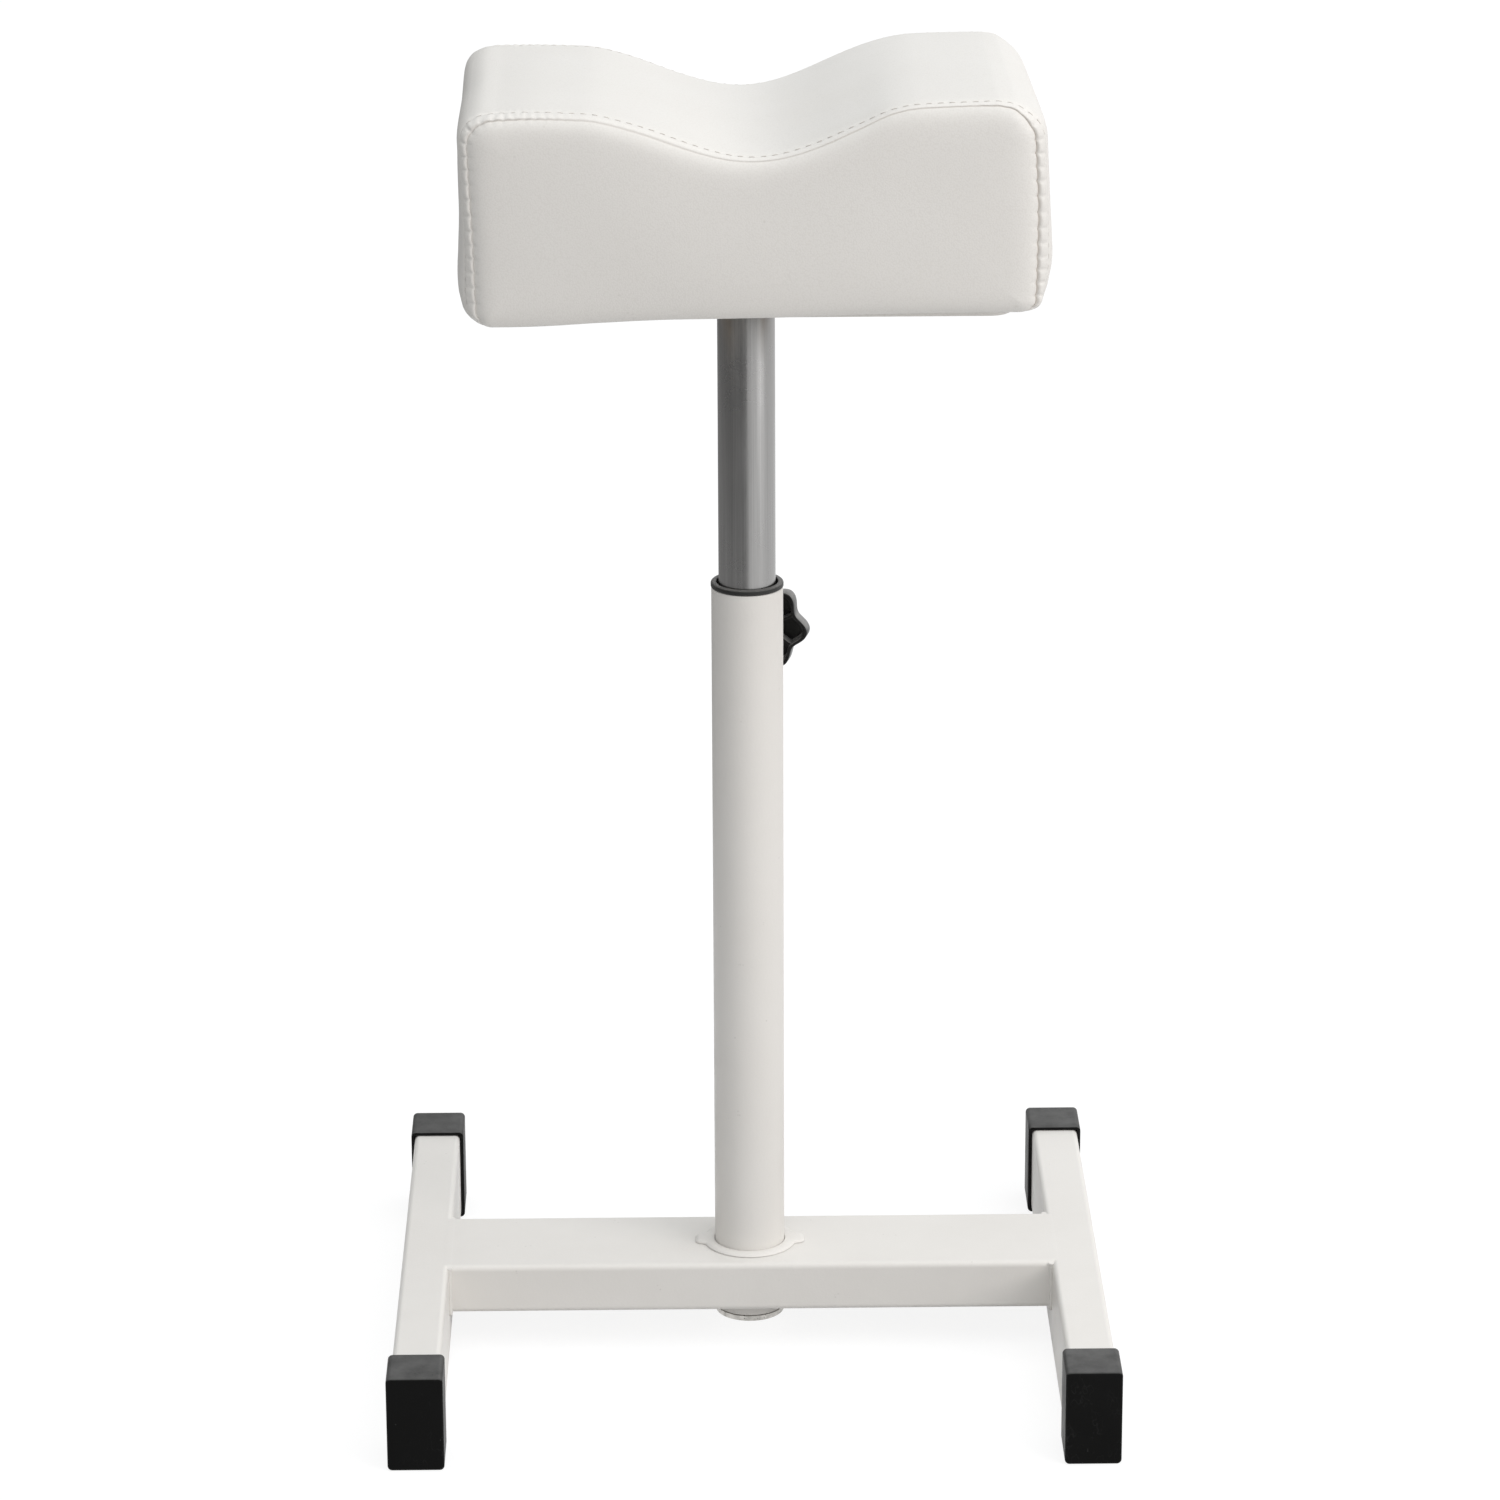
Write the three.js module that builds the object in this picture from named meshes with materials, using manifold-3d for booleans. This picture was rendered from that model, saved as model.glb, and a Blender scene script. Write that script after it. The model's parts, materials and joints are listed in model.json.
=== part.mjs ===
// Pedicure footrest: a padded saddle on a telescoping post that stands on an H-shaped steel base.
// Millimetres, +Z up. The origin is on the floor, on the axis of the post. The front is -Y.
import * as THREE from 'three';
import { mergeVertices } from 'three/addons/utils/BufferGeometryUtils.js';
import Module from 'manifold-3d';

const wasm = await Module();
wasm.setup();

// Fits
const CLEARANCE = 0.3;
const OVERRUN = 2;

// Base: two side legs of rectangular tube, joined by a crossbar that lies flat between them
const BASE_WIDTH = 400;
const LEG_LENGTH = 373;
const LEG_TUBE_WIDTH = 27;
const LEG_TUBE_HEIGHT = 51;
const LEG_TUBE_WALL = 1.5;
const LEG_TUBE_CORNER = 3;
const CROSSBAR_DEPTH = 70.5;
const CROSSBAR_HEIGHT = 29;
const CROSSBAR_WALL = 2;
const CROSSBAR_CORNER = 3.2;

// End caps, pushed over the ends of the legs; the base stands on them
const CAP_LENGTH = 32;
const CAP_WALL = 1.9;
const CAP_END_WALL = 2.2;
const CAP_EDGE = 1;
const CAP_CORNER = 3.6;

// Outer post, its ring on the crossbar and its end plug
const POST_DIAMETER = 40;
const POST_WALL = 1.5;
const POST_TOP = 449.5;
const RING_MARGIN = 6.5;
const RING_THICKNESS = 1.6;
const RING_EAR_LENGTH = 5;
const RING_EAR_WIDTH = 13;
const RING_EAR_CORNER = 4.3;
const PLUG_FLOOR_GAP = 10.3;
const PLUG_FLANGE_SETBACK = 0.2;
const PLUG_FLANGE_THICKNESS = 3.4;
const PLUG_SPIGOT = 12;
const PLUG_WALL = 3.2;
const PLUG_WEB = 3;

// Collar bush in the mouth of the post
const COLLAR_OVERHANG = 0.3;
const COLLAR_RIM = 2.8;
const COLLAR_CHAMFER = 0.7;
const COLLAR_SLEEVE = 26;
const COLLAR_MOUTH_GAP = 1.3;
const COLLAR_MOUTH_DEPTH = 4;

// Inner tube and the plastic sleeve that guides its foot
const SLEEVE_WALL = 2;
const INNER_WALL = 1.5;
const INNER_LENGTH = 431;
const FOOT_SLEEVE_LENGTH = 38;
const FOOT_SLEEVE_FLOOR = 3;

// Clamp: a welded boss, a stud with a pressure pad at its tip, and a star knob
const CLAMP_DROP = 39;
const CLAMP_BEARING = 13;
const BOSS_DIAMETER = 16;
const BOSS_LENGTH = 9;
const PRESSURE_PAD_DIAMETER = 8.4;
const PRESSURE_PAD_THICKNESS = 3.5;
const STUD_DIAMETER = 8;
const KNOB_STANDOFF = 26.2;
const KNOB_DIAMETER = 49;
const KNOB_WAIST_DIAMETER = 39;
const KNOB_DEPTH = 10.5;
const KNOB_EDGE = 1.2;
const KNOB_WALL = 2.4;
const KNOB_FACE = 2.6;
const KNOB_RIB = 1.6;
const KNOB_RIB_DROP = 1.5;
const KNOB_HUB_DIAMETER = 18;
const KNOB_HUB_PROUD = 2;
const KNOB_TURN = -5;
const KNOB_LOBES = 6;
const INSERT_DIAMETER = 12;
const INSERT_LENGTH = 9;

// Pad: leatherette cover over foam on a plywood board
const PAD_UNDERSIDE = 624;
const PAD_SEAM_HALF_WIDTH = 149.5;
const PAD_SEAM_DEPTH = 182;
const PAD_HEIGHT = 114;
const PAD_DIP_DEPTH = 26;
const PAD_LOBE_PLACE = 90;
const PAD_TOP_CORNER = 15;
const PAD_BOTTOM_CORNER = 9;
const PAD_SIDE_CROWN = 8.5;
const PAD_TOP_CROWN = 4;
const PAD_PANEL_CROWN = 6;
const PAD_SIDE_DRAW = 2.5;
const COVER_THICKNESS = 1.2;
const COVER_HEM = 22;
const BOARD_SETBACK = 9;
const BOARD_THICKNESS = 12;
const BOARD_CORNER = 12;

// Mount plate on the inner tube, inside the hem of the cover, and its four bolts, washers and tee nuts
const PLATE_HEM_GAP = 12;
const PLATE_THICKNESS = 4;
const PLATE_CORNER = 8;
const BOLT_EDGE_DISTANCE = 12;
const BOLT_DIAMETER = 6;
const BOLT_HEAD_ACROSS = 10;
const BOLT_HEAD_HEIGHT = 4;
const WASHER_DIAMETER = 12;
const WASHER_THICKNESS = 1.4;
const TEE_BARREL_WALL = 0.6;
const TEE_BARREL_LENGTH = 8.5;
const TEE_FLANGE_DIAMETER = 18;
const TEE_FLANGE_THICKNESS = 1.4;

// Numbers of steps and shares
const ROUND_STEPS = 40;
const SMALL_STEPS = 16;
const CORNER_STEPS = 3;
const EDGE_STEPS = 1;
const KNOB_STEPS_PER_LOBE = 8;
const HEX_SIDES = 6;
const PAD_CORNER_STEPS = 4;
const PAD_SIDE_STEPS = 3;
const PAD_TOP_STEPS = 16;
const PAD_BOTTOM_STEPS = 6;
const PAD_BAND_STATION_SHARES = [-1, -0.6, 0, 0.6, 1];
const PAD_PANEL_RING_SHARES = [0.88, 0.62, 0.32];
const PAD_CENTRE_HEIGHT_SHARE = 0.45;

// Places that follow from the sizes
const POST_RADIUS = POST_DIAMETER / 2;
const POST_BORE = POST_RADIUS - POST_WALL;
const INNER_RADIUS = POST_BORE - SLEEVE_WALL - 2 * CLEARANCE;
const LEG_BOTTOM = CAP_WALL + CLEARANCE;
const LEG_TOP = LEG_BOTTOM + LEG_TUBE_HEIGHT;
const LEG_PLACE = (BASE_WIDTH - LEG_TUBE_WIDTH) / 2;
const CROSSBAR_LENGTH = BASE_WIDTH - 2 * LEG_TUBE_WIDTH - 2 * CLEARANCE;
const CROSSBAR_PLACE = LEG_TOP - CROSSBAR_HEIGHT / 2;
const POST_BOTTOM = PLUG_FLOOR_GAP + PLUG_FLANGE_THICKNESS + CLEARANCE;
const CLAMP_HEIGHT = POST_TOP - CLAMP_DROP;
const KNOB_PLACE = POST_RADIUS + KNOB_STANDOFF;
const PAD_LOBE_TOP = PAD_UNDERSIDE + PAD_HEIGHT;
const BOARD_WIDTH = 2 * (PAD_SEAM_HALF_WIDTH - BOARD_SETBACK);
const BOARD_DEPTH = PAD_SEAM_DEPTH - 2 * BOARD_SETBACK;
const BOARD_BOTTOM = PAD_UNDERSIDE + COVER_THICKNESS + CLEARANCE;
const BOARD_TOP = BOARD_BOTTOM + BOARD_THICKNESS;
const PLATE_SIZE = BOARD_DEPTH - 2 * (COVER_HEM + PLATE_HEM_GAP);
const BOLT_SPACING = PLATE_SIZE - 2 * BOLT_EDGE_DISTANCE;
const PLATE_BOTTOM = BOARD_BOTTOM - CLEARANCE - PLATE_THICKNESS;
const INNER_TOP = PLATE_BOTTOM - CLEARANCE;
const INNER_FOOT = INNER_TOP - INNER_LENGTH;

const WHITE_COAT = new THREE.MeshStandardMaterial({ color: 0xe4e2de, roughness: 0.45, metalness: 0 });
const BLACK_PLASTIC = new THREE.MeshStandardMaterial({ color: 0x1a1a1a, roughness: 0.5, metalness: 0 });
const BLACK_COAT = new THREE.MeshStandardMaterial({ color: 0x202020, roughness: 0.45, metalness: 0 });
const GREY_PLASTIC = new THREE.MeshStandardMaterial({ color: 0x5a5a58, roughness: 0.55, metalness: 0 });
const BARE_STEEL = new THREE.MeshStandardMaterial({ color: 0x9a9a96, roughness: 0.35, metalness: 1 });
const BRASS = new THREE.MeshStandardMaterial({ color: 0xb08d4a, roughness: 0.4, metalness: 1 });
const LEATHERETTE = new THREE.MeshStandardMaterial({ color: 0xe8e6e1, roughness: 0.5, metalness: 0 });
const FOAM = new THREE.MeshStandardMaterial({ color: 0xe6d9a8, roughness: 0.95, metalness: 0 });
const PLYWOOD = new THREE.MeshStandardMaterial({ color: 0xc09a68, roughness: 0.8, metalness: 0 });

// A geometry as a solid for booleans, and back again
function solid(geometry) {
  const bare = geometry.index ? geometry.toNonIndexed() : geometry.clone();
  bare.deleteAttribute('normal');
  bare.deleteAttribute('uv');
  const merged = mergeVertices(bare);
  return new wasm.Manifold(new wasm.Mesh({
    numProp: 3,
    vertProperties: new Float32Array(merged.attributes.position.array),
    triVerts: new Uint32Array(merged.index.array),
  }));
}

function geometryOf(body) {
  const mesh = body.getMesh();
  const geometry = new THREE.BufferGeometry();
  geometry.setAttribute('position', new THREE.BufferAttribute(mesh.vertProperties, 3));
  geometry.setIndex(new THREE.BufferAttribute(mesh.triVerts, 1));
  return geometry;
}

// A rounded rectangle centred on the origin, as a shape or as a hole
function roundedRectangle(width, height, corner, Kind = THREE.Shape) {
  const x = width / 2 - corner;
  const y = height / 2 - corner;
  const outline = new Kind();
  outline.absarc(x, y, corner, 0, Math.PI / 2);
  outline.absarc(-x, y, corner, Math.PI / 2, Math.PI);
  outline.absarc(-x, -y, corner, Math.PI, Math.PI * 3 / 2);
  outline.absarc(x, -y, corner, Math.PI * 3 / 2, Math.PI * 2);
  outline.closePath();
  return outline;
}

// A slab of a shape, from z = 0 upwards
function slab(shape, thickness) {
  return new THREE.ExtrudeGeometry(shape, {
    depth: thickness,
    bevelEnabled: false,
    curveSegments: CORNER_STEPS,
  });
}

// A rectangular tube along Z, centred on the origin
function rectangularTube(width, height, wall, corner, length) {
  const shape = roundedRectangle(width, height, corner);
  shape.holes.push(roundedRectangle(width - 2 * wall, height - 2 * wall, corner - wall, THREE.Path));
  return slab(shape, length).translate(0, 0, -length / 2);
}

// A body turned about Z from [radius, height] pairs that close on themselves or meet the axis
function turned(profile, steps) {
  const points = profile.map(([radius, height]) => new THREE.Vector2(radius, height));
  if (profile[0][0] > 0) points.push(points[0].clone());
  return new THREE.LatheGeometry(points, steps).rotateX(Math.PI / 2);
}

// A round bar along Z from one height to another
function bar(radius, from, to, steps) {
  return turned([[0, from], [radius, from], [radius, to], [0, to]], steps);
}

// A round tube along Z
function roundTube(radius, bore, from, to, steps) {
  return turned([[bore, from], [radius, from], [radius, to], [bore, to]], steps);
}

// Lays what is built along +Z out along the axis of the clamp, from the axis of the post
function alongClamp(geometry) {
  return geometry.rotateX(-Math.PI / 2).rotateZ(-THREE.MathUtils.degToRad(CLAMP_BEARING));
}

function named(name, geometry, material) {
  const mesh = new THREE.Mesh(geometry, material);
  mesh.name = name;
  return mesh;
}

// Base

function legTube() {
  return rectangularTube(
    LEG_TUBE_WIDTH,
    LEG_TUBE_HEIGHT,
    LEG_TUBE_WALL,
    LEG_TUBE_CORNER,
    LEG_LENGTH,
  ).rotateX(Math.PI / 2);
}

// A cap that opens towards +Y; its end wall faces -Y
function endCap() {
  const outerWidth = LEG_TUBE_WIDTH + 2 * (CLEARANCE + CAP_WALL);
  const outerHeight = LEG_TUBE_HEIGHT + 2 * (CLEARANCE + CAP_WALL);
  const outer = new THREE.ExtrudeGeometry(roundedRectangle(outerWidth, outerHeight, CAP_CORNER), {
    depth: CAP_LENGTH - 2 * CAP_EDGE,
    bevelThickness: CAP_EDGE,
    bevelSize: CAP_EDGE,
    bevelOffset: -CAP_EDGE,
    bevelSegments: EDGE_STEPS,
    curveSegments: CORNER_STEPS,
  }).translate(0, 0, CAP_EDGE);
  const pocketShape = roundedRectangle(
    LEG_TUBE_WIDTH + 2 * CLEARANCE,
    LEG_TUBE_HEIGHT + 2 * CLEARANCE,
    LEG_TUBE_CORNER,
  );
  const pocket = slab(pocketShape, CAP_LENGTH).translate(0, 0, CAP_END_WALL);
  return geometryOf(solid(outer).subtract(solid(pocket))).rotateX(-Math.PI / 2);
}

function crossbarTube() {
  const tube = rectangularTube(
    CROSSBAR_DEPTH,
    CROSSBAR_HEIGHT,
    CROSSBAR_WALL,
    CROSSBAR_CORNER,
    CROSSBAR_LENGTH,
  ).rotateX(Math.PI / 2).rotateZ(Math.PI / 2);
  const reach = CROSSBAR_HEIGHT / 2 + OVERRUN;
  const postHole = bar(POST_RADIUS + CLEARANCE, -reach, reach, ROUND_STEPS);
  return geometryOf(solid(tube).subtract(solid(postHole)));
}

function addBase(group) {
  for (const [side, sign] of [['left', -1], ['right', 1]]) {
    const leg = named(`${side}_leg_tube`, legTube(), WHITE_COAT);
    leg.position.set(sign * LEG_PLACE, 0, LEG_BOTTOM + LEG_TUBE_HEIGHT / 2);
    group.add(leg);
    for (const [end, direction] of [['front', -1], ['rear', 1]]) {
      const cap = named(`${end}_${side}_cap`, endCap(), BLACK_PLASTIC);
      const endFace = LEG_LENGTH / 2 + CLEARANCE + CAP_END_WALL;
      cap.position.set(sign * LEG_PLACE, direction * endFace, LEG_BOTTOM + LEG_TUBE_HEIGHT / 2);
      if (direction > 0) cap.rotation.z = Math.PI;
      group.add(cap);
    }
  }
  const crossbar = named('crossbar_tube', crossbarTube(), WHITE_COAT);
  crossbar.position.z = CROSSBAR_PLACE;
  group.add(crossbar);
}

// Post

function outerPost() {
  const tube = roundTube(POST_RADIUS, POST_BORE, POST_BOTTOM, POST_TOP, ROUND_STEPS);
  const holeRadius = PRESSURE_PAD_DIAMETER / 2 + CLEARANCE;
  const studHole = alongClamp(bar(holeRadius, 0, POST_DIAMETER, SMALL_STEPS));
  return geometryOf(solid(tube).subtract(solid(studHole.translate(0, 0, CLAMP_HEIGHT))));
}

// The ring on the crossbar: a washer with a small ear to either side
function postRing() {
  const ringRadius = POST_RADIUS + RING_MARGIN;
  const washer = bar(ringRadius, 0, RING_THICKNESS, ROUND_STEPS);
  const earSpan = 2 * (ringRadius + RING_EAR_LENGTH);
  const ears = slab(roundedRectangle(earSpan, RING_EAR_WIDTH, RING_EAR_CORNER), RING_THICKNESS);
  const postHole = bar(POST_RADIUS + CLEARANCE, -OVERRUN, RING_THICKNESS + OVERRUN, ROUND_STEPS);
  return geometryOf(solid(washer).add(solid(ears)).subtract(solid(postHole)));
}

// The plug closes the foot of the post; its spigot is hollow from above
function endPlug() {
  const flange = POST_RADIUS - PLUG_FLANGE_SETBACK;
  const spigot = POST_BORE - CLEARANCE;
  const recess = spigot - PLUG_WALL;
  const flangeTop = PLUG_FLOOR_GAP + PLUG_FLANGE_THICKNESS;
  const top = flangeTop + PLUG_SPIGOT;
  return turned([
    [0, PLUG_FLOOR_GAP],
    [flange, PLUG_FLOOR_GAP],
    [flange, flangeTop],
    [spigot, flangeTop],
    [spigot, top],
    [recess, top],
    [recess, PLUG_FLOOR_GAP + PLUG_WEB],
    [0, PLUG_FLOOR_GAP + PLUG_WEB],
  ], ROUND_STEPS);
}

function collarBush() {
  const rim = POST_RADIUS + COLLAR_OVERHANG;
  const sleeve = POST_BORE - CLEARANCE;
  const bore = INNER_RADIUS + CLEARANCE;
  const mouth = INNER_RADIUS + COLLAR_MOUTH_GAP;
  const seat = POST_TOP + CLEARANCE;
  const top = seat + COLLAR_RIM;
  return turned([
    [bore, seat - COLLAR_SLEEVE],
    [sleeve, seat - COLLAR_SLEEVE],
    [sleeve, seat],
    [rim, seat],
    [rim, top - COLLAR_CHAMFER],
    [rim - COLLAR_CHAMFER, top],
    [mouth, top],
    [mouth, top - COLLAR_MOUTH_DEPTH],
    [bore, top - COLLAR_MOUTH_DEPTH],
  ], ROUND_STEPS);
}

function addPost(group) {
  group.add(named('outer_post', outerPost(), WHITE_COAT));
  const ring = named('post_ring', postRing(), WHITE_COAT);
  ring.position.z = LEG_TOP + CLEARANCE;
  group.add(ring);
  group.add(named('post_end_plug', endPlug(), BARE_STEEL));
  group.add(named('collar_bush', collarBush(), GREY_PLASTIC));
}

// Clamp

// The boss is cut to the round of the post that it is welded to
function clampBoss() {
  const end = POST_RADIUS + BOSS_LENGTH;
  const boss = roundTube(BOSS_DIAMETER / 2, STUD_DIAMETER / 2 + CLEARANCE, 0, end, SMALL_STEPS);
  const reach = BOSS_DIAMETER / 2 + OVERRUN;
  const post = bar(POST_RADIUS + CLEARANCE, -reach, reach, ROUND_STEPS);
  return geometryOf(solid(alongClamp(boss)).subtract(solid(post)));
}

// The star outline of the knob, drawn in by an inset
function knobOutline(inset) {
  const mean = (KNOB_DIAMETER + KNOB_WAIST_DIAMETER) / 4;
  const swing = (KNOB_DIAMETER - KNOB_WAIST_DIAMETER) / 4;
  const count = KNOB_LOBES * KNOB_STEPS_PER_LOBE;
  const points = [];
  for (let i = 0; i < count; i += 1) {
    const angle = (i / count) * Math.PI * 2;
    const radius = mean + swing * Math.cos(KNOB_LOBES * angle) - inset;
    points.push(new THREE.Vector2(radius * Math.cos(angle), radius * Math.sin(angle)));
  }
  return new THREE.Shape(points);
}

// The knob is built along +Z with its open side at z = 0 and its closed face up
function knobBody() {
  const insetEdge = KNOB_DEPTH - KNOB_EDGE;
  const skirt = slab(knobOutline(0), insetEdge);
  const crown = new THREE.ExtrudeGeometry(knobOutline(0), {
    depth: KNOB_EDGE,
    bevelThickness: KNOB_EDGE,
    bevelSize: KNOB_EDGE,
    bevelOffset: -KNOB_EDGE,
    bevelSegments: EDGE_STEPS,
  }).translate(0, 0, insetEdge - KNOB_EDGE);
  const hollow = slab(knobOutline(KNOB_WALL), KNOB_DEPTH - KNOB_FACE + OVERRUN).translate(0, 0, -OVERRUN);
  const ceiling = KNOB_DEPTH - KNOB_FACE / 2;
  const hub = bar(KNOB_HUB_DIAMETER / 2, -KNOB_HUB_PROUD, ceiling, SMALL_STEPS);
  const socket = bar(INSERT_DIAMETER / 2 + CLEARANCE, -OVERRUN - KNOB_HUB_PROUD,
    INSERT_LENGTH + CLEARANCE - KNOB_HUB_PROUD, SMALL_STEPS);
  let body = solid(skirt).add(solid(crown)).subtract(solid(hollow)).add(solid(hub));
  const ribReach = (KNOB_WAIST_DIAMETER - KNOB_WALL) / 2;
  for (let i = 0; i < KNOB_LOBES; i += 1) {
    const rib = new THREE.BoxGeometry(ribReach, KNOB_RIB, ceiling - KNOB_RIB_DROP)
      .translate(ribReach / 2, 0, (ceiling + KNOB_RIB_DROP) / 2)
      .rotateZ(((i + 1 / 2) / KNOB_LOBES) * Math.PI * 2);
    body = body.add(solid(rib));
  }
  return geometryOf(body.subtract(solid(socket)));
}

function addClamp(group) {
  const clamp = new THREE.Group();
  clamp.position.z = CLAMP_HEIGHT;
  clamp.add(named('clamp_boss', clampBoss(), WHITE_COAT));
  const padStart = INNER_RADIUS + CLEARANCE;
  const padEnd = padStart + PRESSURE_PAD_THICKNESS;
  const pressurePad = bar(PRESSURE_PAD_DIAMETER / 2, padStart, padEnd, SMALL_STEPS);
  clamp.add(named('pressure_pad', alongClamp(pressurePad), GREY_PLASTIC));
  const hubFace = KNOB_PLACE - KNOB_HUB_PROUD;
  const stud = bar(STUD_DIAMETER / 2, padEnd + CLEARANCE, hubFace + INSERT_LENGTH, SMALL_STEPS);
  clamp.add(named('clamp_stud', alongClamp(stud), BARE_STEEL));
  const insert = roundTube(
    INSERT_DIAMETER / 2,
    STUD_DIAMETER / 2 + CLEARANCE,
    hubFace,
    hubFace + INSERT_LENGTH,
    SMALL_STEPS,
  );
  clamp.add(named('knob_insert', alongClamp(insert), BRASS));
  const knob = knobBody().rotateZ(THREE.MathUtils.degToRad(KNOB_TURN)).translate(0, 0, KNOB_PLACE);
  clamp.add(named('clamp_knob', alongClamp(knob), BLACK_PLASTIC));
  group.add(clamp);
}

// Inner tube

function footSleeve() {
  const outer = POST_BORE - CLEARANCE;
  const bore = INNER_RADIUS + CLEARANCE;
  const floorTop = INNER_FOOT - CLEARANCE;
  const bottom = floorTop - FOOT_SLEEVE_FLOOR;
  const top = bottom + FOOT_SLEEVE_LENGTH;
  return turned([
    [0, bottom],
    [outer, bottom],
    [outer, top],
    [bore, top],
    [bore, floorTop],
    [0, floorTop],
  ], ROUND_STEPS);
}

function addInnerTube(group) {
  group.add(named('foot_sleeve', footSleeve(), GREY_PLASTIC));
  const tube = roundTube(INNER_RADIUS, INNER_RADIUS - INNER_WALL, INNER_FOOT, INNER_TOP, ROUND_STEPS);
  group.add(named('inner_tube', tube, BARE_STEEL));
}

// Pad

// The outline of the pad seen from the front, as [x, z] pairs, anticlockwise from the bottom centre.
// halfWidth, top and bottom set its size; the top dips between two lobes; the sides draw in below.
function padOutline(halfWidth, top, bottom, inset) {
  const right = [];
  const topCorner = PAD_TOP_CORNER - inset;
  const bottomCorner = PAD_BOTTOM_CORNER - inset;
  const low = bottom + bottomCorner;
  const high = top - topCorner;
  const sideAt = (z) => halfWidth - PAD_SIDE_DRAW * (1 - (z - bottom) / (top - bottom)) ** 2;
  for (let i = 1; i <= PAD_BOTTOM_STEPS / 2; i += 1) {
    right.push([(sideAt(low) - bottomCorner) * (i / (PAD_BOTTOM_STEPS / 2)), bottom]);
  }
  for (let i = 1; i <= PAD_CORNER_STEPS; i += 1) {
    const angle = (i / PAD_CORNER_STEPS) * Math.PI / 2;
    right.push([
      sideAt(low) - bottomCorner + bottomCorner * Math.sin(angle),
      low - bottomCorner * Math.cos(angle),
    ]);
  }
  for (let i = 1; i < PAD_SIDE_STEPS; i += 1) {
    const z = low + (high - low) * (i / PAD_SIDE_STEPS);
    right.push([sideAt(z), z]);
  }
  for (let i = 0; i < PAD_CORNER_STEPS; i += 1) {
    const angle = (i / PAD_CORNER_STEPS) * Math.PI / 2;
    right.push([
      halfWidth - topCorner + topCorner * Math.cos(angle),
      high + topCorner * Math.sin(angle),
    ]);
  }
  const crest = halfWidth - topCorner;
  for (let i = 0; i < PAD_TOP_STEPS / 2; i += 1) {
    const x = crest * (1 - i / (PAD_TOP_STEPS / 2));
    right.push([x, top - dipAt(x)]);
  }
  const left = [...right].reverse().map(([x, z]) => [-x, z]);
  return [[0, bottom], ...right, [0, top - dipAt(0)], ...left];
}

// How far the top lies below the lobes at a distance from the middle of the pad
function dipAt(x) {
  const reach = Math.min(Math.abs(x) / PAD_LOBE_PLACE, 1);
  return PAD_DIP_DEPTH * (1 + Math.cos(Math.PI * reach)) / 2;
}

// The whole form of the pad, drawn in all round by an inset, with its underside at a given height.
// The band between the two seams is crowned, and each end panel swells out from its seam.
function padForm(inset, bottom) {
  const halfDepth = PAD_SEAM_DEPTH / 2 - inset;
  const seamTop = PAD_LOBE_TOP - inset;
  const seamHalfWidth = PAD_SEAM_HALF_WIDTH - inset;
  const seam = padOutline(seamHalfWidth, seamTop, bottom, inset);
  const centre = bottom + (seamTop - bottom) * PAD_CENTRE_HEIGHT_SHARE;
  const swellAt = (x, z) => {
    const reach = z > centre ? seamTop - centre : centre - bottom;
    return (1 - (x / seamHalfWidth) ** 2) * (1 - ((z - centre) / reach) ** 2);
  };
  const panelRing = (share, sign) => seam.map(([x, z]) => {
    const height = (z - centre) * share;
    const y = sign * (halfDepth + PAD_PANEL_CROWN * swellAt(x * share, centre + height));
    return [x * share, y, centre + height];
  });
  const rings = [];
  for (const share of [...PAD_PANEL_RING_SHARES].reverse()) rings.push(panelRing(share, -1));
  for (const place of PAD_BAND_STATION_SHARES) {
    const swell = 1 - place ** 2;
    const outline = padOutline(
      seamHalfWidth + PAD_SIDE_CROWN * swell,
      seamTop + PAD_TOP_CROWN * swell,
      bottom,
      inset,
    );
    rings.push(outline.map(([x, z]) => [x, halfDepth * place, z]));
  }
  for (const share of PAD_PANEL_RING_SHARES) rings.push(panelRing(share, 1));
  const first = [0, -halfDepth - PAD_PANEL_CROWN, centre];
  const last = [0, halfDepth + PAD_PANEL_CROWN, centre];
  return closedLoft(rings, first, last);
}

// A closed body through rings of equally many points, pointed at both ends
function closedLoft(rings, first, last) {
  const count = rings[0].length;
  const positions = [...rings.flat(), first, last].flat();
  const firstIndex = rings.length * count;
  const index = [];
  for (let j = 0; j < count; j += 1) {
    const next = (j + 1) % count;
    index.push(firstIndex, j, next);
    for (let i = 0; i + 1 < rings.length; i += 1) {
      const a = i * count;
      const b = a + count;
      index.push(a + j, b + j, b + next, a + j, b + next, a + next);
    }
    const end = (rings.length - 1) * count;
    index.push(firstIndex + 1, end + next, end + j);
  }
  const geometry = new THREE.BufferGeometry();
  geometry.setAttribute('position', new THREE.Float32BufferAttribute(positions, 3));
  geometry.setIndex(index);
  return geometry;
}

// A shell that follows the pad, open below inside its turned-under hem
function cushionCover() {
  const cavity = padForm(COVER_THICKNESS, PAD_UNDERSIDE + COVER_THICKNESS);
  const openingShape = roundedRectangle(
    BOARD_WIDTH - 2 * COVER_HEM,
    BOARD_DEPTH - 2 * COVER_HEM,
    BOARD_CORNER,
  );
  const opening = slab(openingShape, COVER_THICKNESS + 2 * OVERRUN)
    .translate(0, 0, PAD_UNDERSIDE - OVERRUN);
  const form = solid(padForm(0, PAD_UNDERSIDE));
  return geometryOf(form.subtract(solid(cavity)).subtract(solid(opening)));
}

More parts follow.
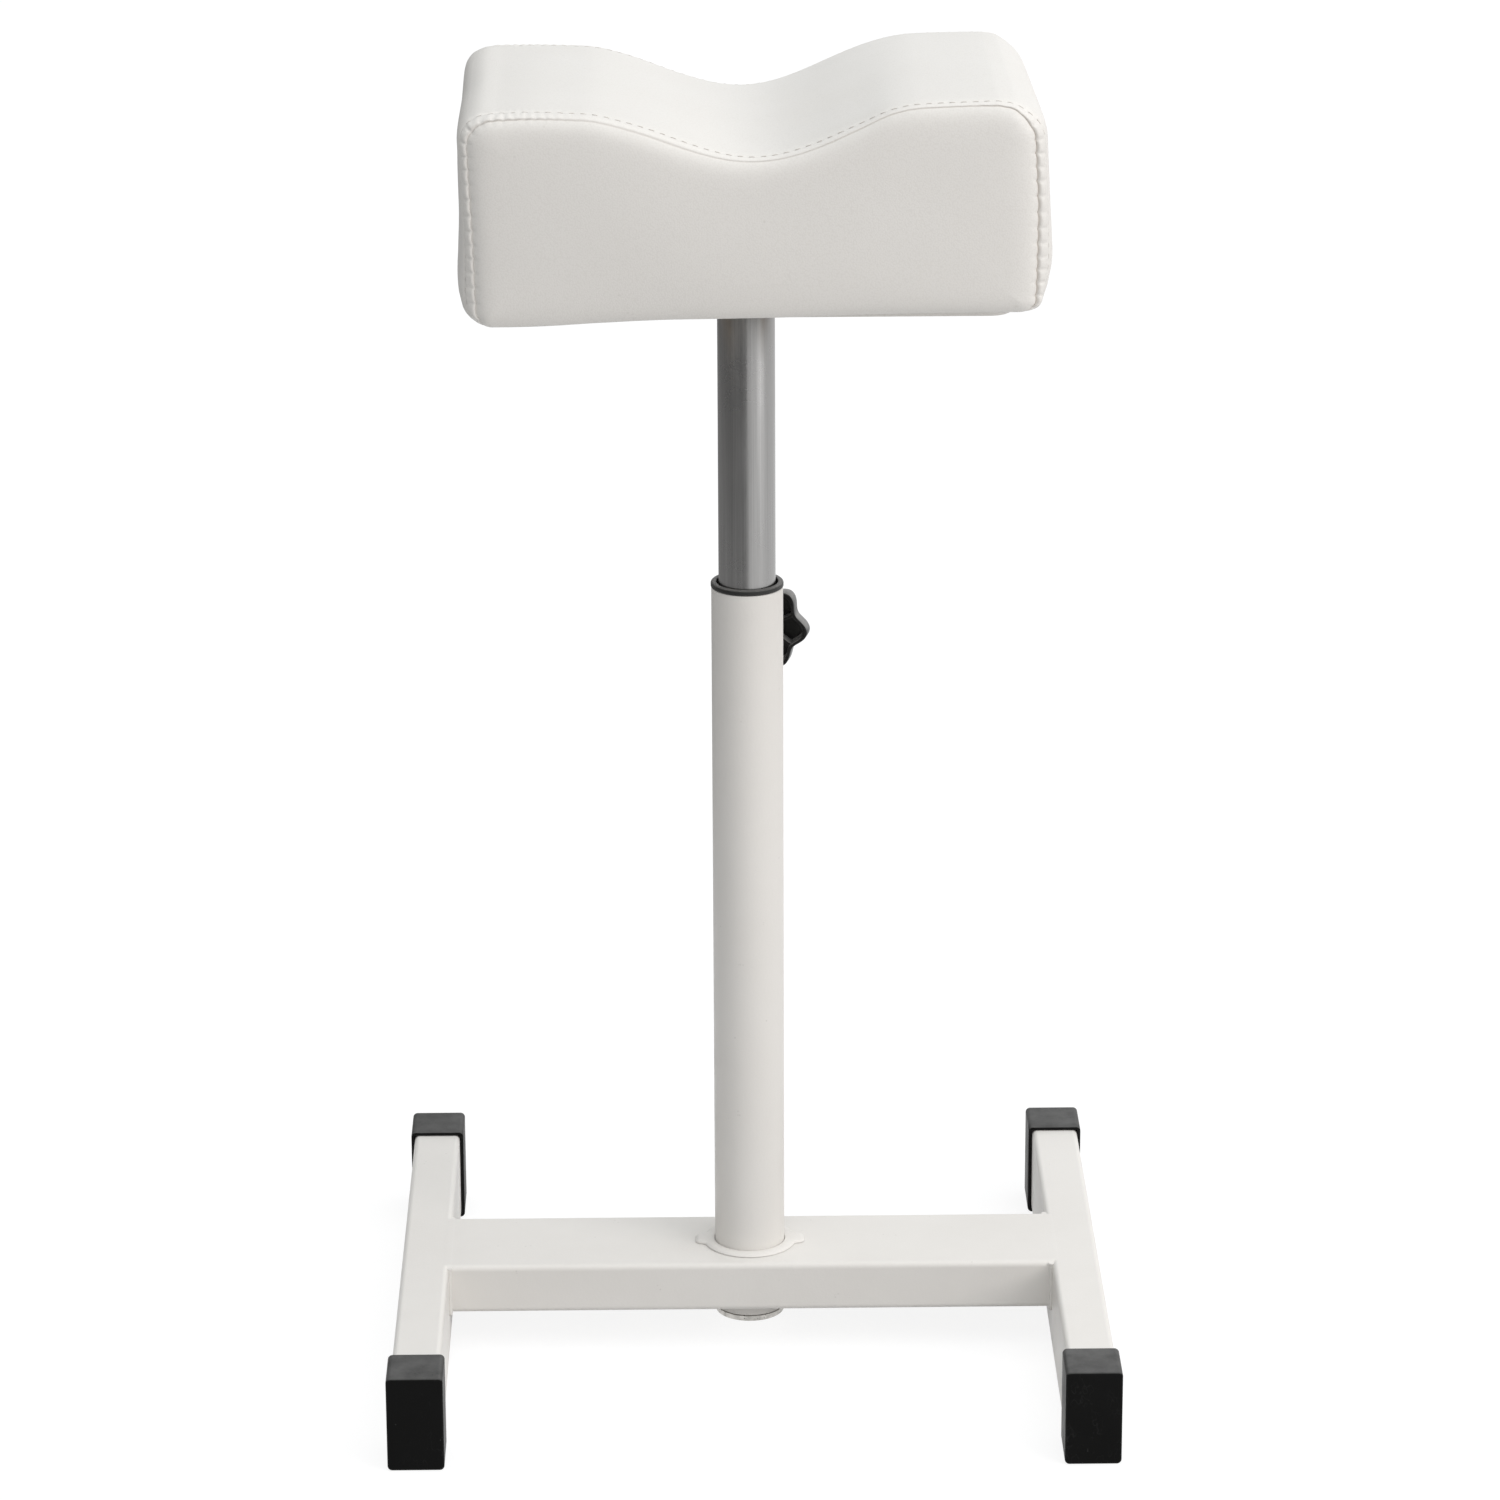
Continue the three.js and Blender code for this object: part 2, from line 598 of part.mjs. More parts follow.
// The foam fills the cover above the board
function cushionFoam() {
  const inset = COVER_THICKNESS + CLEARANCE;
  const seat = BOARD_TOP + CLEARANCE;
  const width = 2 * (PAD_SEAM_HALF_WIDTH + PAD_SIDE_CROWN);
  const depth = PAD_SEAM_DEPTH + 2 * PAD_PANEL_CROWN;
  const below = new THREE.BoxGeometry(width, depth, seat - PAD_UNDERSIDE)
    .translate(0, 0, (seat + PAD_UNDERSIDE) / 2);
  return geometryOf(solid(padForm(inset, PAD_UNDERSIDE + inset)).subtract(solid(below)));
}

function padBoard() {
  const board = slab(roundedRectangle(BOARD_WIDTH, BOARD_DEPTH, BOARD_CORNER), BOARD_THICKNESS)
    .translate(0, 0, BOARD_BOTTOM);
  const recessDepth = TEE_FLANGE_THICKNESS + 2 * CLEARANCE;
  const barrelHole = BOLT_DIAMETER / 2 + TEE_BARREL_WALL + 2 * CLEARANCE;
  const hole = bar(barrelHole, BOARD_BOTTOM - OVERRUN, BOARD_TOP + OVERRUN, SMALL_STEPS);
  const recess = bar(
    TEE_FLANGE_DIAMETER / 2 + CLEARANCE,
    BOARD_TOP - recessDepth,
    BOARD_TOP + OVERRUN,
    SMALL_STEPS,
  );
  let body = solid(board);
  for (const [x, y] of boltPlaces()) {
    body = body.subtract(solid(hole.clone().translate(x, y, 0)));
    body = body.subtract(solid(recess.clone().translate(x, y, 0)));
  }
  return geometryOf(body);
}

function boltPlaces() {
  const half = BOLT_SPACING / 2;
  return [[-half, -half], [half, -half], [half, half], [-half, half]];
}

function mountPlate() {
  const plate = slab(roundedRectangle(PLATE_SIZE, PLATE_SIZE, PLATE_CORNER), PLATE_THICKNESS)
    .translate(0, 0, PLATE_BOTTOM);
  const hole = bar(
    BOLT_DIAMETER / 2 + CLEARANCE,
    PLATE_BOTTOM - OVERRUN,
    PLATE_BOTTOM + PLATE_THICKNESS + OVERRUN,
    SMALL_STEPS,
  );
  let body = solid(plate);
  for (const [x, y] of boltPlaces()) {
    body = body.subtract(solid(hole.clone().translate(x, y, 0)));
  }
  return geometryOf(body);
}

// A hexagon bolt with its head below z = 0 and its shank above
function mountBolt(shank) {
  const head = bar(BOLT_HEAD_ACROSS / Math.sqrt(3), -BOLT_HEAD_HEIGHT, 0, HEX_SIDES);
  const rod = bar(BOLT_DIAMETER / 2, -BOLT_HEAD_HEIGHT / 2, shank, SMALL_STEPS);
  return geometryOf(solid(head).add(solid(rod)));
}

function teeNut() {
  const bore = BOLT_DIAMETER / 2 + CLEARANCE;
  const barrel = bore + TEE_BARREL_WALL;
  const flange = TEE_FLANGE_DIAMETER / 2;
  return turned([
    [bore, -TEE_BARREL_LENGTH],
    [barrel, -TEE_BARREL_LENGTH],
    [barrel, 0],
    [flange, 0],
    [flange, TEE_FLANGE_THICKNESS],
    [bore, TEE_FLANGE_THICKNESS],
  ], SMALL_STEPS);
}

function addPad(group) {
  group.add(named('mount_plate', mountPlate(), BLACK_COAT));
  const washerTop = PLATE_BOTTOM - CLEARANCE;
  const headTop = washerTop - WASHER_THICKNESS - CLEARANCE;
  const teeSeat = BOARD_TOP - TEE_FLANGE_THICKNESS - CLEARANCE;
  const shank = BOARD_TOP - CLEARANCE - headTop;
  boltPlaces().forEach(([x, y], i) => {
    const bolt = named(`mount_bolt_${i + 1}`, mountBolt(shank), BARE_STEEL);
    bolt.position.set(x, y, headTop);
    const washer = named(
      `mount_washer_${i + 1}`,
      roundTube(WASHER_DIAMETER / 2, BOLT_DIAMETER / 2 + CLEARANCE, -WASHER_THICKNESS, 0, SMALL_STEPS),
      BARE_STEEL,
    );
    washer.position.set(x, y, washerTop);
    const nut = named(`tee_nut_${i + 1}`, teeNut(), BARE_STEEL);
    nut.position.set(x, y, teeSeat);
    group.add(bolt, washer, nut);
  });
  group.add(named('pad_board', padBoard(), PLYWOOD));
  group.add(named('cushion_foam', cushionFoam(), FOAM));
  group.add(named('cushion_cover', cushionCover(), LEATHERETTE));
}

const footrest = new THREE.Group();
addBase(footrest);
addPost(footrest);
addClamp(footrest);
addInnerTube(footrest);
addPad(footrest);

export default footrest;
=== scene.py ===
# %% [markdown]
# # A pedicure footrest, dressed around its imported frame
#
# The object is a white padded saddle on a telescoping post, with a star knob at the back and an
# H-shaped base on four black push-on caps. The imported model already says where every solid is, so
# this script only makes what the eye needs on top of that: soft edges, weld beads, a threaded
# stud, a stuffed cushion with its seams and stitches, and a finish for each material.
# We start by loading that frame and keeping its solids and its record.

# %% Load the frame
import json
import math

import bmesh
import bpy
import numpy as np
from mathutils import Matrix, Vector


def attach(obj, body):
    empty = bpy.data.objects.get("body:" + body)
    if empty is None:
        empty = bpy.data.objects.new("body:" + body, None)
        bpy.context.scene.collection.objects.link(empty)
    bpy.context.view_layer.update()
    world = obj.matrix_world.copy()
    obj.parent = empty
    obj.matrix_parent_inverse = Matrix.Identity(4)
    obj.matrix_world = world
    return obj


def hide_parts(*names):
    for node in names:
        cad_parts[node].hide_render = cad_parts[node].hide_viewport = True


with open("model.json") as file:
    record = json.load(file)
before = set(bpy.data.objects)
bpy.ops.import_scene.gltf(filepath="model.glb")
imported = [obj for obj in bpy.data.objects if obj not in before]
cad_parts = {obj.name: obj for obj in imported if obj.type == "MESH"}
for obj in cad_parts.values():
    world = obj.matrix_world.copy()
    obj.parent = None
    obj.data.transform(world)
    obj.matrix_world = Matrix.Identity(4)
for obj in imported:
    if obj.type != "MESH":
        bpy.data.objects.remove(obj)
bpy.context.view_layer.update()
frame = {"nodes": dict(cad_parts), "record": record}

MM = 0.001
scene = bpy.context.scene

# %% [markdown]
# ## The camera
#
# The picture was taken from the front, a little above the object, with a long lens. The place and
# the angles come from matching measured edges of the base, the post and the pad. They could be
# set by eye in the viewport, but building the camera's own axes from the angles is exact and
# is the same on every run.

# %% Camera
CAMERA_PLACE = (-0.0378, -3.0721, 1.4185)
CAMERA_PITCH, CAMERA_YAW, CAMERA_ROLL = (math.radians(a) for a in (19.130, -0.7283, -0.2245))
FRAME_PIXELS = 1500
FOCAL_PIXELS = 5790.04
SENSOR = 36.0

forward = Vector((-math.sin(CAMERA_YAW) * math.cos(CAMERA_PITCH),
                  math.cos(CAMERA_YAW) * math.cos(CAMERA_PITCH), -math.sin(CAMERA_PITCH)))
level = Vector((math.cos(CAMERA_YAW), math.sin(CAMERA_YAW), 0))
upright = level.cross(forward)
across = level * math.cos(CAMERA_ROLL) + upright * math.sin(CAMERA_ROLL)
above = upright * math.cos(CAMERA_ROLL) - level * math.sin(CAMERA_ROLL)

lens = bpy.data.cameras.new("camera")
lens.sensor_fit = "HORIZONTAL"
lens.sensor_width = SENSOR
lens.lens = SENSOR * FOCAL_PIXELS / FRAME_PIXELS
lens.clip_end = 100
camera = bpy.data.objects.new("camera", lens)
camera.matrix_world = Matrix((
    (across.x, above.x, -forward.x, CAMERA_PLACE[0]),
    (across.y, above.y, -forward.y, CAMERA_PLACE[1]),
    (across.z, above.z, -forward.z, CAMERA_PLACE[2]),
    (0, 0, 0, 1)))
scene.collection.objects.link(camera)
scene.camera = camera
scene.view_settings.view_transform = "Standard"
print("lens:", round(lens.lens, 2), "mm")

# %% [markdown]
# ## Small helpers for node trees
#
# Materials and Geometry Nodes are both graphs. Wiring them by hand takes many lines, so one
# helper adds a node, sets its options, and either links a socket or gives it a value. A socket is
# found by its name among those that are in use, because a Mix node has several called "A".

# %% Node helpers
def place(tree, kind, inputs=None, **settings):
    """Adds a node; an input given as a socket is linked, anything else is its value."""
    node = tree.nodes.new(kind)
    for key, value in settings.items():
        setattr(node, key, value)
    for key, value in (inputs or {}).items():
        socket = node.inputs[key] if isinstance(key, int) else next(
            s for s in node.inputs if s.name == key and s.enabled)
        if isinstance(value, bpy.types.NodeSocket):
            tree.links.new(value, socket)
        else:
            socket.default_value = value
    return node


def output(node, name=None):
    """The node's first output in use, or the one of that name."""
    return next(s for s in node.outputs if s.enabled and (name is None or s.name == name))


def calc(tree, operation, a, b=0.0):
    """One Math node."""
    return output(place(tree, "ShaderNodeMath", {0: a, 1: b}, operation=operation))


def noise(tree, vector, scale, detail=2.0, roughness=0.5):
    """One Noise Texture, as a value from 0 to 1."""
    return output(place(tree, "ShaderNodeTexNoise", {
        "Vector": vector, "Scale": scale, "Detail": detail, "Roughness": roughness}), "Fac")


def span(tree, value, low, high, to_low=0.0, to_high=1.0):
    """Moves a value from one range to another and stops at the ends."""
    return output(place(tree, "ShaderNodeMapRange", {
        "Value": value, "From Min": low, "From Max": high, "To Min": to_low, "To Max": to_high}))


def blend_colour(tree, factor, first, second):
    """Mixes two colours by a mask; each is a socket or red, green and blue."""
    first, second = ((*c, 1) if isinstance(c, tuple) else c for c in (first, second))
    node = place(tree, "ShaderNodeMix", {"Factor": factor, "A": first, "B": second}, data_type="RGBA")
    return output(node, "Result")


def group(name, inputs, outputs):
    """A shader node group with named sockets: (tree, its inputs, the node that takes its outputs)."""
    tree = bpy.data.node_groups.new(name, "ShaderNodeTree")
    for label, kind, value in inputs:
        socket = tree.interface.new_socket(label, in_out="INPUT", socket_type="NodeSocket" + kind)
        if value is not None:
            socket.default_value = value
    for label, kind in outputs:
        tree.interface.new_socket(label, in_out="OUTPUT", socket_type="NodeSocket" + kind)
    return tree, tree.nodes.new("NodeGroupInput").outputs, tree.nodes.new("NodeGroupOutput")

# %% [markdown]
# ## Effects that several finishes share
#
# Real surfaces are never even: dust settles in soft patches, handling leaves fine scratches, and corners are
# polished first. The lighter edges are partly that wear and partly a painted highlight, and the grey on
# upward faces of the plastics is partly dust and partly a painted sheen of the light above. Each of these
# effects is one shader group, so that every material can use it at its own scale. The groups only put out
# masks and heights that change over the surface; the shader itself stays in the material.

# %% Soft patches
# A cloudy value between two limits
PATCHES, into, out = group("soft_patches", [
    ("Vector", "Vector", None), ("Scale", "Float", 20.0), ("Low", "Float", 0.4),
    ("High", "Float", 0.5),
], [("Value", "Float")])
cloud = noise(PATCHES, into["Vector"], into["Scale"], 4.0, 0.6)
PATCHES.links.new(span(PATCHES, cloud, 0.3, 0.7, into["Low"], into["High"]), out.inputs["Value"])
print("soft patches:", len(PATCHES.nodes), "nodes")

# %% Scratches, specks and worn edges
# Scratches: thin lines where a stretched noise crosses its middle, thinned out by a cloud
SCRATCHES, into, out = group("fine_scratches", [
    ("Vector", "Vector", None), ("Scale", "Float", 60.0), ("Turn", "Vector", (0.3, 0.5, 0.7)),
    ("Amount", "Float", 0.5),
], [("Mask", "Float")])
turned = place(SCRATCHES, "ShaderNodeMapping", {
    "Vector": into["Vector"], "Rotation": into["Turn"], "Scale": (1.0, 0.06, 0.6)})
crossing = calc(SCRATCHES, "ABSOLUTE", calc(SCRATCHES, "SUBTRACT",
    noise(SCRATCHES, output(turned), into["Scale"], 3.0, 0.7), 0.5))
line = span(SCRATCHES, crossing, 0.0, 0.012, 1.0, 0.0)
where = span(SCRATCHES, noise(SCRATCHES, into["Vector"], 35.0, 2.0), 0.52, 0.66)
SCRATCHES.links.new(calc(SCRATCHES, "MULTIPLY", calc(SCRATCHES, "MULTIPLY", line, where),
    into["Amount"]), out.inputs["Mask"])

# Specks: small spots of dust or scale
SPECKS, into, out = group("specks", [
    ("Vector", "Vector", None), ("Scale", "Float", 400.0), ("Share", "Float", 0.2),
], [("Mask", "Float")])
cells = place(SPECKS, "ShaderNodeTexVoronoi", {"Vector": into["Vector"], "Scale": into["Scale"]})
spot = span(SPECKS, output(cells, "Distance"), 0.12, 0.3, 1.0, 0.0)
chosen = calc(SPECKS, "LESS_THAN", noise(SPECKS, output(cells, "Position"), 90.0, 1.0),
    calc(SPECKS, "ADD", into["Share"], 0.25))
SPECKS.links.new(calc(SPECKS, "MULTIPLY", spot, chosen), out.inputs["Mask"])

# Worn and highlit edges: where the surface turns within a small radius, a bevelled normal leaves the true
# one; materials lighten these edges as wear and as a painted highlight
EDGE_WEAR_AND_HIGHLIGHT, into, out = group("worn_and_highlit_edges", [
    ("Vector", "Vector", None), ("Radius", "Float", 0.0012), ("Amount", "Float", 0.5),
], [("Mask", "Float")])
round_normal = place(EDGE_WEAR_AND_HIGHLIGHT, "ShaderNodeBevel", {"Radius": into["Radius"]}, samples=4)
true_normal = place(EDGE_WEAR_AND_HIGHLIGHT, "ShaderNodeNewGeometry")
agree = place(EDGE_WEAR_AND_HIGHLIGHT, "ShaderNodeVectorMath", {
    0: output(round_normal), 1: output(true_normal, "Normal")}, operation="DOT_PRODUCT")
turn = span(EDGE_WEAR_AND_HIGHLIGHT, output(agree, "Value"), 0.995, 0.9)
broken = span(EDGE_WEAR_AND_HIGHLIGHT, noise(EDGE_WEAR_AND_HIGHLIGHT, into["Vector"], 300.0, 4.0), 0.35, 0.65, 0.3, 1.0)
EDGE_WEAR_AND_HIGHLIGHT.links.new(calc(EDGE_WEAR_AND_HIGHLIGHT, "MULTIPLY", calc(EDGE_WEAR_AND_HIGHLIGHT, "MULTIPLY", turn, broken),
    into["Amount"]), out.inputs["Mask"])
print("masks:", [g.name for g in bpy.data.node_groups])

# %% Orange peel, dust, drawn lines and pebble grain
# Orange peel: the low, rounded waves that baked powder and moulded plastic keep
PEEL, into, out = group("orange_peel", [
    ("Vector", "Vector", None), ("Size", "Float", 0.0015),
], [("Height", "Float")])
count = calc(PEEL, "DIVIDE", 1.0, into["Size"])
waves = noise(PEEL, into["Vector"], count, 1.0, 0.4)
fine = noise(PEEL, into["Vector"], calc(PEEL, "MULTIPLY", count, 4.0), 2.0, 0.5)
PEEL.links.new(calc(PEEL, "ADD", waves, calc(PEEL, "MULTIPLY", fine, 0.18)), out.inputs["Height"])

# Dust and painted sheen: a soft grey on whatever faces up, uneven in patches; it stands for settled dust and
# for the light that upward faces reflect
TOP_DUST_AND_SHEEN, into, out = group("dust_and_top_sheen", [
    ("Vector", "Vector", None), ("Scale", "Float", 60.0), ("Low", "Float", 0.3),
    ("High", "Float", 0.95),
], [("Mask", "Float")])
upwards = output(place(TOP_DUST_AND_SHEEN, "ShaderNodeSeparateXYZ", {
    0: output(place(TOP_DUST_AND_SHEEN, "ShaderNodeNewGeometry"), "Normal")}), "Z")
lying = span(TOP_DUST_AND_SHEEN, upwards, into["Low"], into["High"])
cloud = span(TOP_DUST_AND_SHEEN, noise(TOP_DUST_AND_SHEEN, into["Vector"], into["Scale"], 5.0, 0.65), 0.3, 0.7, 0.55, 1.0)
TOP_DUST_AND_SHEEN.links.new(calc(TOP_DUST_AND_SHEEN, "MULTIPLY", lying, cloud), out.inputs["Mask"])

# Drawn lines: steel that was pulled through a die along Z keeps long straight lines
DRAWN, into, out = group("drawn_lines", [
    ("Vector", "Vector", None), ("Scale", "Float", 900.0),
], [("Height", "Float"), ("Mask", "Float")])
long_way = place(DRAWN, "ShaderNodeMapping", {"Vector": into["Vector"], "Scale": (1.0, 1.0, 0.006)})
lines = noise(DRAWN, output(long_way), into["Scale"], 3.0, 0.7)
broad = noise(DRAWN, output(long_way), calc(DRAWN, "MULTIPLY", into["Scale"], 0.13), 2.0, 0.5)
DRAWN.links.new(lines, out.inputs["Height"])
DRAWN.links.new(span(DRAWN, broad, 0.35, 0.65), out.inputs["Mask"])

# Pebble grain: the embossed cells of leatherette, with fine creases between them
PEBBLE, into, out = group("pebble_grain", [
    ("Vector", "Vector", None), ("Size", "Float", 0.0009),
], [("Height", "Float"), ("Mask", "Float")])
count = calc(PEBBLE, "DIVIDE", 1.0, into["Size"])
bent = place(PEBBLE, "ShaderNodeVectorMath", {
    0: into["Vector"],
    1: output(place(PEBBLE, "ShaderNodeVectorMath", {
        0: output(place(PEBBLE, "ShaderNodeTexNoise", {
            "Vector": into["Vector"], "Scale": calc(PEBBLE, "MULTIPLY", count, 0.4)}), "Color"),
        "Scale": 0.0006}, operation="SCALE"))}, operation="ADD")
cells = place(PEBBLE, "ShaderNodeTexVoronoi", {
    "Vector": output(bent), "Scale": count, "Smoothness": 0.35}, feature="SMOOTH_F1")
domes = span(PEBBLE, output(cells, "Distance"), 0.1, 0.75, 1.0, 0.0)
pores = noise(PEBBLE, into["Vector"], calc(PEBBLE, "MULTIPLY", count, 2.3), 2.0, 0.6)
PEBBLE.links.new(calc(PEBBLE, "ADD", domes, calc(PEBBLE, "MULTIPLY", pores, 0.35)),
    out.inputs["Height"])
PEBBLE.links.new(domes, out.inputs["Mask"])
print("shader groups:", len(bpy.data.node_groups))

# %% [markdown]
# ## The finishes
#
# Every finish is one Principled shader. Whatever is the same all over a surface, such as how
# metallic it is, is written on the shader itself; only what varies comes from nodes. One function
# opens a material and returns its tree, its shader and its Object coordinates, which stay put on
# the piece when a joint moves it. Another feeds the three things that vary on every
# piece here: the colour, the roughness, and a height for the normal.

# %% Opening and feeding a material
def finish(name, colour, roughness, **constants):
    """A new material: (material, node tree, Principled shader, Object coordinates)."""
    material = bpy.data.materials.new(name)
    material.use_nodes = True
    tree = material.node_tree
    shader = tree.nodes["Principled BSDF"]
    shader.inputs["Base Color"].default_value = (*colour, 1)
    shader.inputs["Roughness"].default_value = roughness
    for key, value in constants.items():
        shader.inputs[key.replace("_", " ")].default_value = value
    coordinates = output(place(tree, "ShaderNodeTexCoord"), "Object")
    material.diffuse_color = (*colour, 1)
    return material, tree, shader, coordinates


def effect(tree, shared, vector, name=None, **values):
    """Places a shared group in a material and returns one of its outputs."""
    node = place(tree, "ShaderNodeGroup", {}, node_tree=shared)
    tree.links.new(vector, node.inputs["Vector"])
    for key, value in values.items():
        node.inputs[key].default_value = value
    return output(node, name)


def patchy(tree, where, scale, low=0.0, high=1.0):
    """A value that drifts between two limits in soft patches."""
    return effect(tree, PATCHES, where, Scale=scale, Low=low, High=high)


def feed(tree, shader, colour, roughness, height, strength, distance):
    """Feeds the shader its colour, its roughness, and a height for its normal."""
    tree.links.new(colour, shader.inputs["Base Color"])
    tree.links.new(roughness, shader.inputs["Roughness"])
    bump = place(tree, "ShaderNodeBump", {"Height": height, "Strength": strength, "Distance": distance})
    tree.links.new(output(bump), shader.inputs["Normal"])

# %% [markdown]
# ### White powder coat
#
# The tubes are sprayed with white powder and baked. Powder melts into a satin skin with a faint orange peel,
# a trace of dust, and rounded edges where it thins; those edges are painted lighter, partly as wear and
# partly as a painted highlight. A gloss paint would mirror the studio; the photograph shows only a broad soft
# sheen, so the roughness stays near the middle.

# %% Powder coat
WHITE_COAT, tree, shader, where = finish("white_coat", (0.83, 0.81, 0.775), 0.42)
coat = blend_colour(tree, patchy(tree, where, 14.0), (0.845, 0.825, 0.79), (0.815, 0.793, 0.757))
specks = effect(tree, SPECKS, where, Scale=420.0, Share=0.03)
overlaid = blend_colour(tree, specks, coat, (0.74, 0.72, 0.685))
# Lighter edges: wear, and a painted highlight along the rounded edges
edges = effect(tree, EDGE_WEAR_AND_HIGHLIGHT, where, Radius=0.0015, Amount=0.5)
worn_and_highlit = blend_colour(tree, edges, overlaid, (0.88, 0.865, 0.84))
feed(tree, shader, worn_and_highlit, patchy(tree, where, 45.0, 0.36, 0.50),
    effect(tree, PEEL, where, Size=0.0016), 0.12, 0.0004)
print("powder coat:", len(tree.nodes), "nodes")

# %% [markdown]
# ### Moulded plastics
#
# The caps are black polyethylene and the knob is black nylon: a fine spark-eroded texture from the mould and
# scuffs from moving the stand about. A grey on whatever faces up is partly dust and partly a painted sheen,
# the light that the tops of the caps, the knob's upper flanks and the bush's rim reflect; the edges are
# painted lighter too, as wear and as a painted highlight. The knob's satin outside catches more light, and
# the bush in the post is dark grey. One function makes all three.

# %% Plastics
def plastic(name, dark, bloom, dust_and_sheen, roughness, scuffs, specular):
    """A moulded plastic; dust_and_sheen gives the grey of its dust and painted top sheen, and the slopes
    where it starts and lies in full.
    """
    material, tree, shader, where = finish(name, dark, roughness[0], Specular_IOR_Level=specular)
    skin = blend_colour(tree, patchy(tree, where, 22.0, 0.0, 0.7), dark, bloom)
    lines = effect(tree, SCRATCHES, where, Scale=70.0, Amount=scuffs)
    scuffed = blend_colour(tree, lines, skin, (0.035, 0.035, 0.035))
    grey, first, full = dust_and_sheen
    # The grey on upward faces is partly dust and partly a painted sheen of the light above
    dust_and_sheen_mask = effect(tree, TOP_DUST_AND_SHEEN, where, Scale=75.0, Low=first, High=full)
    overlaid = blend_colour(tree, dust_and_sheen_mask, scuffed, (grey, grey, grey * 0.985))
    # Lighter edges: wear, and a painted highlight along the rounded edges
    edges = effect(tree, EDGE_WEAR_AND_HIGHLIGHT, where, Radius=0.0012, Amount=0.5)
    worn_and_highlit = blend_colour(tree, edges, overlaid, (0.07, 0.07, 0.07))
    specks = effect(tree, SPECKS, where, Scale=600.0, Share=0.06)
    feed(tree, shader, blend_colour(tree, specks, worn_and_highlit, (0.035, 0.035, 0.034)),
        patchy(tree, where, 50.0, *roughness), effect(tree, PEEL, where, Size=0.0007), 0.2, 0.00025)
    return material


NEAR_BLACK, BLACK_BLOOM = (0.0035, 0.0035, 0.0033), (0.006, 0.006, 0.006)
# Caps: their grey tops are partly dust and partly the painted reflection of the light above
BLACK_PLASTIC = plastic("black_plastic", NEAR_BLACK, BLACK_BLOOM, (0.12, 0.35, 0.95), (0.34, 0.46),
    0.35, 0.07)
# Knob: the grey starts on nearly upright faces, painting its upper flanks lighter than its underside, with
# some dust
KNOB_PLASTIC = plastic("knob_plastic", NEAR_BLACK, BLACK_BLOOM, (0.32, 0.1, 0.55), (0.24, 0.34),
    0.2, 0.3)
# Bush: the grey paints its top rim lighter, with some dust
GREY_PLASTIC = plastic("grey_plastic", (0.022, 0.022, 0.021), (0.034, 0.034, 0.033), (0.22, 0.35, 0.9),
    (0.36, 0.50), 0.2, 0.3)
print("plastics:", [m.name for m in (BLACK_PLASTIC, KNOB_PLASTIC, GREY_PLASTIC)])

# %% [markdown]
# ### Bare and plated steel
#
# The inner tube is cold-drawn: fine lines run along it and break up reflections sideways. The
# plug below the post is a bare stamping with dull grey scale between bright spots. Bolts, washers
# and the stud are zinc-plated, with a faint blue and yellow cast, and the plate under the pad has
# a thin black coat.

# %% Metals
DRAWN_STEEL, tree, shader, where = finish("drawn_steel", (0.50, 0.495, 0.49), 0.3, Metallic=1.0)
bands = effect(tree, DRAWN, where, "Mask", Scale=900.0)
steel = blend_colour(tree, bands, (0.45, 0.445, 0.44), (0.37, 0.366, 0.362))
lines = span(tree, effect(tree, DRAWN, where, "Height", Scale=1300.0), 0.35, 0.7, 0.0, 0.5)
feed(tree, shader, blend_colour(tree, lines, steel, (0.25, 0.247, 0.244)),
    patchy(tree, where, 30.0, 0.24, 0.34), effect(tree, DRAWN, where, "Height", Scale=900.0), 0.22, 0.00012)

PLUG_STEEL, tree, shader, where = finish("speckled_steel", (0.42, 0.41, 0.39), 0.4, Metallic=1.0)
scale = effect(tree, SPECKS, where, Scale=700.0, Share=0.30)
grey = blend_colour(tree, patchy(tree, where, 160.0), (0.62, 0.60, 0.57), (0.36, 0.35, 0.33))
feed(tree, shader, blend_colour(tree, scale, grey, (0.10, 0.095, 0.09)),
    patchy(tree, where, 300.0, 0.25, 0.6), scale, 0.4, 0.0001)


def plated(name, colour, cast, roughness):
    """A plated or bright metal with a cast that drifts over it."""
    material, tree, shader, where = finish(name, colour, roughness, Metallic=1.0)
    hue = blend_colour(tree, patchy(tree, where, 90.0), colour, cast)
    lines = effect(tree, SCRATCHES, where, Scale=120.0, Amount=0.4)
    feed(tree, shader, blend_colour(tree, lines, hue, (0.25, 0.25, 0.25)),
        patchy(tree, where, 200.0, roughness - 0.06, roughness + 0.08),
        effect(tree, PEEL, where, Size=0.0005), 0.15, 0.0001)
    return material


ZINC = plated("zinc_steel", (0.62, 0.63, 0.64), (0.66, 0.63, 0.55), 0.32)
BRASS = plated("brass", (0.62, 0.44, 0.18), (0.50, 0.36, 0.16), 0.30)

BLACK_COAT, tree, shader, where = finish("black_coat", (0.02, 0.02, 0.02), 0.45)
edges = effect(tree, EDGE_WEAR_AND_HIGHLIGHT, where, Radius=0.001, Amount=0.8)
thin = blend_colour(tree, edges, (0.018, 0.018, 0.018), (0.16, 0.155, 0.15))
lines = effect(tree, SCRATCHES, where, Scale=50.0, Amount=0.5)
feed(tree, shader, blend_colour(tree, lines, thin, (0.12, 0.12, 0.12)), patchy(tree, where, 40.0, 0.38, 0.55),
    effect(tree, PEEL, where, Size=0.0012), 0.25, 0.0003)
print("metals:", [m.name for m in (DRAWN_STEEL, PLUG_STEEL, ZINC, BRASS, BLACK_COAT)])

